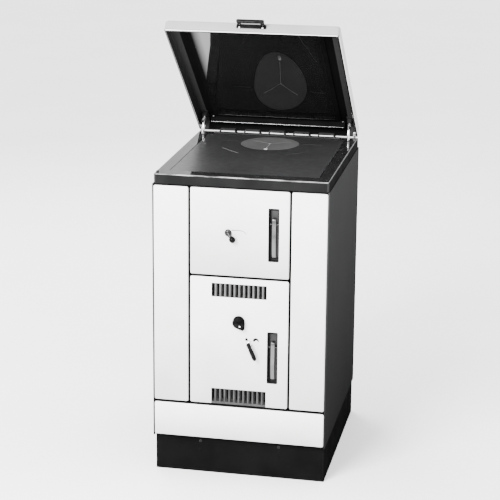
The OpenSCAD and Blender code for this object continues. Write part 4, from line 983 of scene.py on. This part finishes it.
for side, s in SIDES:
    screw = put(screw_head("plinth_screw_" + side, 9, 2.6), (s * 111, PLINTH_FRONT + 0.02, 92), (0, -1, 0),
                20 * s)
    shank = put(turned("shank", [(2, 0), (2, 9)], 16), (s * 111, PLINTH_FRONT, 92), (0, 1, 0))
    wear(join("plinth_screw_" + side, screw, shank), cup_black, "stove", "zinc_steel",
         *once(s, "plinth_screws"))
    rivet = put(screw_head("plinth_rivet_" + side, 6, 1.4, False), (s * 111, PLINTH_FRONT, 62), (0, -1, 0))
    wear(rivet, plinth_black, "stove", "plinth_black")
    screw = open_lid(put(screw_head("stiffener_screw_" + side, 8, 2.4), (s * 195, 251.5, 895.0), (0, 0, -1)))
    wear(screw, zinc, "lid", "zinc_steel", *once(s, "lid_stiffener_screws"))
    screw = open_lid(put(screw_head("grip_screw_" + side, 5.4, 1.6), (s * 32, FRONT - 4, 880), (0, -1, 0)))
    wear(screw, bright_steel, "lid", "zinc_steel", *once(s, "lid_grip_screws"))

rear_screws = []
for z in (118, 470, 822):
    for x in (-232, -150, 150, 232):
        rear_screws.append(put(screw_head("rear_screw", 8, 2.2), (x, BACK, z), (0, 1, 0), 15 + x % 40))
for a in range(4):
    turn = math.radians(45 + 90 * a)
    place = (84 * math.cos(turn), BACK, FLUE_Z + 84 * math.sin(turn))
    rear_screws.append(put(screw_head("rear_screw", 8, 2.2), place, (0, 1, 0), 10 + 31 * a))
wear(join("rear_screws", *rear_screws), zinc, "stove", "zinc_steel")


# Lid
def side_block(s, near, far, *rest):
    """A cutting tool on one side of the stove."""
    return block("tool", *sorted((s * near, s * far)), *rest)


def lid_cover():
    """Enamelled cover: rounded corners and top edge, with a folded hem inside its rim."""
    cover = block("lid_cover_pressed", -HALF_WIDTH, HALF_WIDTH, FRONT, HALF_DEPTH, LID_LOW, LID_TOP)
    round_edges(cover, upright, 8, 7)
    open_face(cover, lambda c, n: n.z < -0.9)
    round_edges(cover, lambda a, b: a.z > LID_TOP - 0.1 and b.z > LID_TOP - 0.1, 6, 6)
    thicken(cover, 1.5)
    hem = block("hem", -238.8, 238.8, FRONT + 1.2, HALF_DEPTH - 1.2, LID_LOW + 0.15, LID_LOW + 3)
    round_edges(hem, upright, 6.8, 6)
    inside = block("tool", -234, 234, FRONT + 6, HALF_DEPTH - 6, LID_LOW - 1, LID_LOW + 5)
    round_edges(inside, upright, 2.5, 4)
    carve(hem, inside, block("tool", -238, 238, 252, 276, LID_LOW - 2, LID_LOW + 5),
          block("tool", -235.5, 235.5, 267.5, 286, LID_LOW - 2, LID_LOW + 5))
    for s in (-1, 1):
        carve(cover, side_block(s, 224.5, 234.5, 280, 287, LID_LOW - 2, 880))
    return join("lid_cover_pressed", soften(cover, 0.4, 2, 50), soften(hem, 0.5, 2, 50))


wear(smooth(open_lid(lid_cover())), lid_grey, "lid", "lid_grey", "lid_shell")

# Lining: black inner skin of the lid
lining = block("lid_lining_pressed", -238.1, 238.1, FRONT + 1.9, HALF_DEPTH - 1.9, LID_LOW + 3.3,
               LID_TOP - 1.9)
open_face(lining, lambda c, n: n.z < -0.9)
round_edges(lining, upright, 6.2, 6)
round_edges(lining, lambda a, b: a.z > LID_TOP - 2 and b.z > LID_TOP - 2, 4.5, 6)
thicken(lining, 0.5)
for s in (-1, 1):
    carve(lining, side_block(s, 224.5, 234.5, 280, 287, LID_LOW, 880))
    carve(lining, side_block(s, 233, 240, 250, 282.2, LID_LOW, 879))
wear(smooth(open_lid(lining), 40), lining_black, "lid", "hob_enamel")

# Heat panel: polished plate inside the lid that mirrors the hob, with rounded corners and a soft lower edge
panel = block("lid_panel_pressed", -PANEL_X, PANEL_X, *PANEL_Y, *PANEL_Z)
round_edges(panel, upright, 5, 5)
round_edges(panel, lambda a, b: a.z < PANEL_Z[0] + 0.1 and b.z < PANEL_Z[0] + 0.1, 1.2, 4)
wear(smooth(open_lid(panel), 40), panel_black, "lid", "hob_enamel")

# Stiffener: black angle across the lid with a bright trim rod along its free edge
angle_foot = block("foot", -201, 201, 237.5, 251.5, 894.6, 896.1)
angle_web = block("web", -201, 201, 249.6, 251.5, 877.5, 895.6)
angle = soften(join("stiffener_angle", angle_foot, angle_web), 0.4, 2, 60)
wear(smooth(open_lid(angle)), plinth_black, "lid", "zinc_steel", "lid_stiffener")
trim = wire("stiffener_trim", [(-200 + 100 * i, 250.5, 876.4) for i in range(5)], 2.4, 4)
wear(smooth(open_lid(trim), 60), lever_chrome, "lid", "zinc_steel")

# Grip: bar on two feet on a base strip
base = soften(block("base", -41, 41, FRONT - 4, FRONT, 878, 890), 1.6, 3)
bar = soften(block("bar", -38, 38, FRONT - 30, FRONT - 21, 881, 891), 3.2, 5)
feet = [soften(block("foot", x - 5, x + 5, FRONT - 26, FRONT - 3, 883, 890), 1.2, 3) for x in (-32, 32)]
wear(smooth(open_lid(join("lid_grip_moulded", base, bar, *feet)), 40), grip_black, "lid", "black_plastic",
     "lid_grip")


# Stays: chromed arc rods round the hinge axis, their springs and brackets, and the buffers on the hob
def arc_point(x, radius, degrees):
    """A point of the arc that a stay follows on the closed lid."""
    a = math.radians(degrees)
    return Vector((x, LID_AXIS[1] - radius * math.cos(a), LID_AXIS[2] + radius * math.sin(a)))


for side, s in SIDES:
    x = s * STAY_X
    rod = wire("stay_rod_" + side, [arc_point(x, STAY_R, 24 - 109 * i / 60) for i in range(61)], 7, 8)
    wear(smooth(open_lid(rod), 40), chrome, "lid", "chromed", *once(s, "lid_stays"))
    turns = []
    for i in range(4 * 24 + 1):
        a = 2 * math.pi * i / 24
        degrees = 11.9 - 12.4 * i / 96
        turns.append(arc_point(x + 4.6 * math.sin(a), STAY_R + 4.6 * math.cos(a), degrees))
    spring = wire("stay_spring_" + side, turns, 1.6, 3)
    wear(smooth(open_lid(spring), 60), zinc, "lid", "zinc_steel", *once(s, "lid_stay_springs"))
    plate = soften(block("plate", x - 9, x + 9, 217.5, 249.5, 893.5, 896.1), 0.8)
    boss = soften(block("boss", x - 6, x + 6, 225.5, 242.5, 880.5, 894.5), 1.4, 3)
    heads = [put(screw_head("head", 5, 1.6), (x, y, 893.5), (0, 0, -1), 30) for y in (221.5, 246.0)]
    bracket = join("stay_bracket_" + side, plate, boss, *heads)
    wear(smooth(open_lid(bracket)), sheet_black, "lid", "plinth_black", *once(s, "lid_stay_brackets"))
    buffer = put(turned("lid_buffer_" + side,
                        [(3.6, 0), (4, 0.5), (4, 2.6), (3.5, 3.8), (2.2, 4.5), (0.8, 4.7)], 32),
                 (s * 232, -269, HOB_TOP), (0, 0, 1))
    wear(smooth(buffer, 50), rubber_black, "stove", "rubber", *once(s, "lid_buffers"))


# Door seals
def door_seal(name, z0, z1, body, node):
    """Knitted cord laid round an opening in one closed run. Its map runs along it in u and round it in v."""
    margin, radius, y = 7.5, 9.0, PAN_BACK + 11.35
    left, right = OPENING_X[0] - margin, OPENING_X[1] + margin
    low, high = z0 - margin, z1 + margin
    corners = [(right - radius, low + radius, -90), (right - radius, high - radius, 0),
               (left + radius, high - radius, 90), (left + radius, low + radius, 180)]
    path = []
    for cx, cz, start in corners:
        for i in range(9):
            a = math.radians(start + 90 * i / 8)
            path.append(Vector((cx + radius * math.cos(a), y, cz + radius * math.sin(a))))
    run = []
    for i, point in enumerate(path):
        after = path[(i + 1) % len(path)]
        pieces = max(1, round((after - point).length / 6))
        run += [point.lerp(after, k / pieces) for k in range(pieces)]
    cord = wire(name, run, 4.7, 3, True)
    alone(cord)
    sides = len(cord.data.vertices) // len(run)
    layer = cord.data.uv_layers.new(name="knit") if not cord.data.uv_layers else cord.data.uv_layers[0]
    for face in cord.data.polygons:
        rings = [cord.data.loops[k].vertex_index // sides for k in face.loop_indices]
        turns_round = [cord.data.loops[k].vertex_index % sides for k in face.loop_indices]
        for k, ring, place in zip(face.loop_indices, rings, turns_round):
            if max(rings) - min(rings) > 1 and ring == 0:
                ring = len(run)
            if max(turns_round) - min(turns_round) > 1 and place == 0:
                place = sides
            layer.data[k].uv = (ring * 1.2, place / sides * 3)
    return wear(smooth(cord, 80), seal_rope, body, "seal_rope", node)


door_seal("fuel_door_cord", *FIRE_OPENING_Z, "fuel_door", "fuel_door_seal")
door_seal("ash_door_cord", *ASH_OPENING_Z, "ash_door", "ash_door_seal")

# Floor, light and camera
bpy.ops.object.select_all(action="DESELECT")
bpy.ops.mesh.primitive_plane_add(size=14, location=(0, 2, 0))
floor = settle(bpy.context.object, "floor")
edit_edges(floor, lambda a, b: a.y > 8000 and b.y > 8000)
for step in ((0, 1.6, 0.5), (0, 1.0, 2.0), (0, 0.2, 6.0)):
    bpy.ops.mesh.extrude_region_move(TRANSFORM_OT_translate={"value": step})
leave()
floor_paper, tree, shader = new_material("floor_paper", rough=0.9, spec=0.1)
feed(tree, shader, "Base Color", blend_colours(tree, clouds(tree, 2, 3, 0.2), grey(0.93), grey(0.97)))
floor.data.materials.append(floor_paper)

world = bpy.data.worlds.new("studio")
bpy.context.scene.world = world
world.use_nodes = True
background = world.node_tree.nodes["Background"]
background.inputs["Color"].default_value = (1, 1, 1, 1)
background.inputs["Strength"].default_value = 3.0


def softbox(name, place, target, width, tall, power):
    """A rectangular lamp, in metres and watts, turned to its target."""
    lamp = bpy.data.lights.new(name, "AREA")
    lamp.shape = "RECTANGLE"
    lamp.size, lamp.size_y = width, tall
    lamp.energy = power
    piece = bpy.data.objects.new(name, lamp)
    bpy.context.scene.collection.objects.link(piece)
    piece.location = place
    piece.rotation_euler = (Vector(target) - Vector(place)).to_track_quat("-Z", "Y").to_euler()


softbox("key_softbox", (-1.2, -3.2, 2.6), (0, -0.1, 0.7), 1.6, 1.6, 560)
softbox("rear_softbox", (-1.6, 2.4, 2.4), (0, 0.1, 0.9), 1.2, 1.6, 90)

# Camera: solved from the corners of the photograph, in radians, metres and pixels
TURN, LIFT, ROLL = 0.216237, 0.266103, 0.002437
ASIDE, ABOVE, AWAY = 0.1412902, 0.21602925, 5.0246313
FOCAL_PIXELS = 1738.71356
IMAGE_PIXELS = 500
SENSOR = 36
forward = Vector((-math.sin(TURN) * math.cos(LIFT), math.cos(TURN) * math.cos(LIFT), -math.sin(LIFT)))
flat_right = Vector((math.cos(TURN), math.sin(TURN), 0))
flat_up = flat_right.cross(forward)
right = flat_right * math.cos(ROLL) + flat_up * math.sin(ROLL)
up = -flat_right * math.sin(ROLL) + flat_up * math.cos(ROLL)
eye = mm(0, 0, 430) - (right * ASIDE - up * ABOVE + forward * AWAY)
view = bpy.data.cameras.new("view")
view.sensor_fit = "HORIZONTAL"
view.sensor_width = SENSOR
view.lens = FOCAL_PIXELS / IMAGE_PIXELS * SENSOR
view.shift_x = 40 / IMAGE_PIXELS
view.shift_y = -25 / IMAGE_PIXELS
view.clip_end = 60
camera = bpy.data.objects.new("view", view)
bpy.context.scene.collection.objects.link(camera)
camera.matrix_world = Matrix(((right.x, up.x, -forward.x, eye.x), (right.y, up.y, -forward.y, eye.y),
                              (right.z, up.z, -forward.z, eye.z), (0, 0, 0, 1)))
bpy.context.scene.camera = camera

alone(floor)
bpy.ops.object.select_all(action="DESELECT")
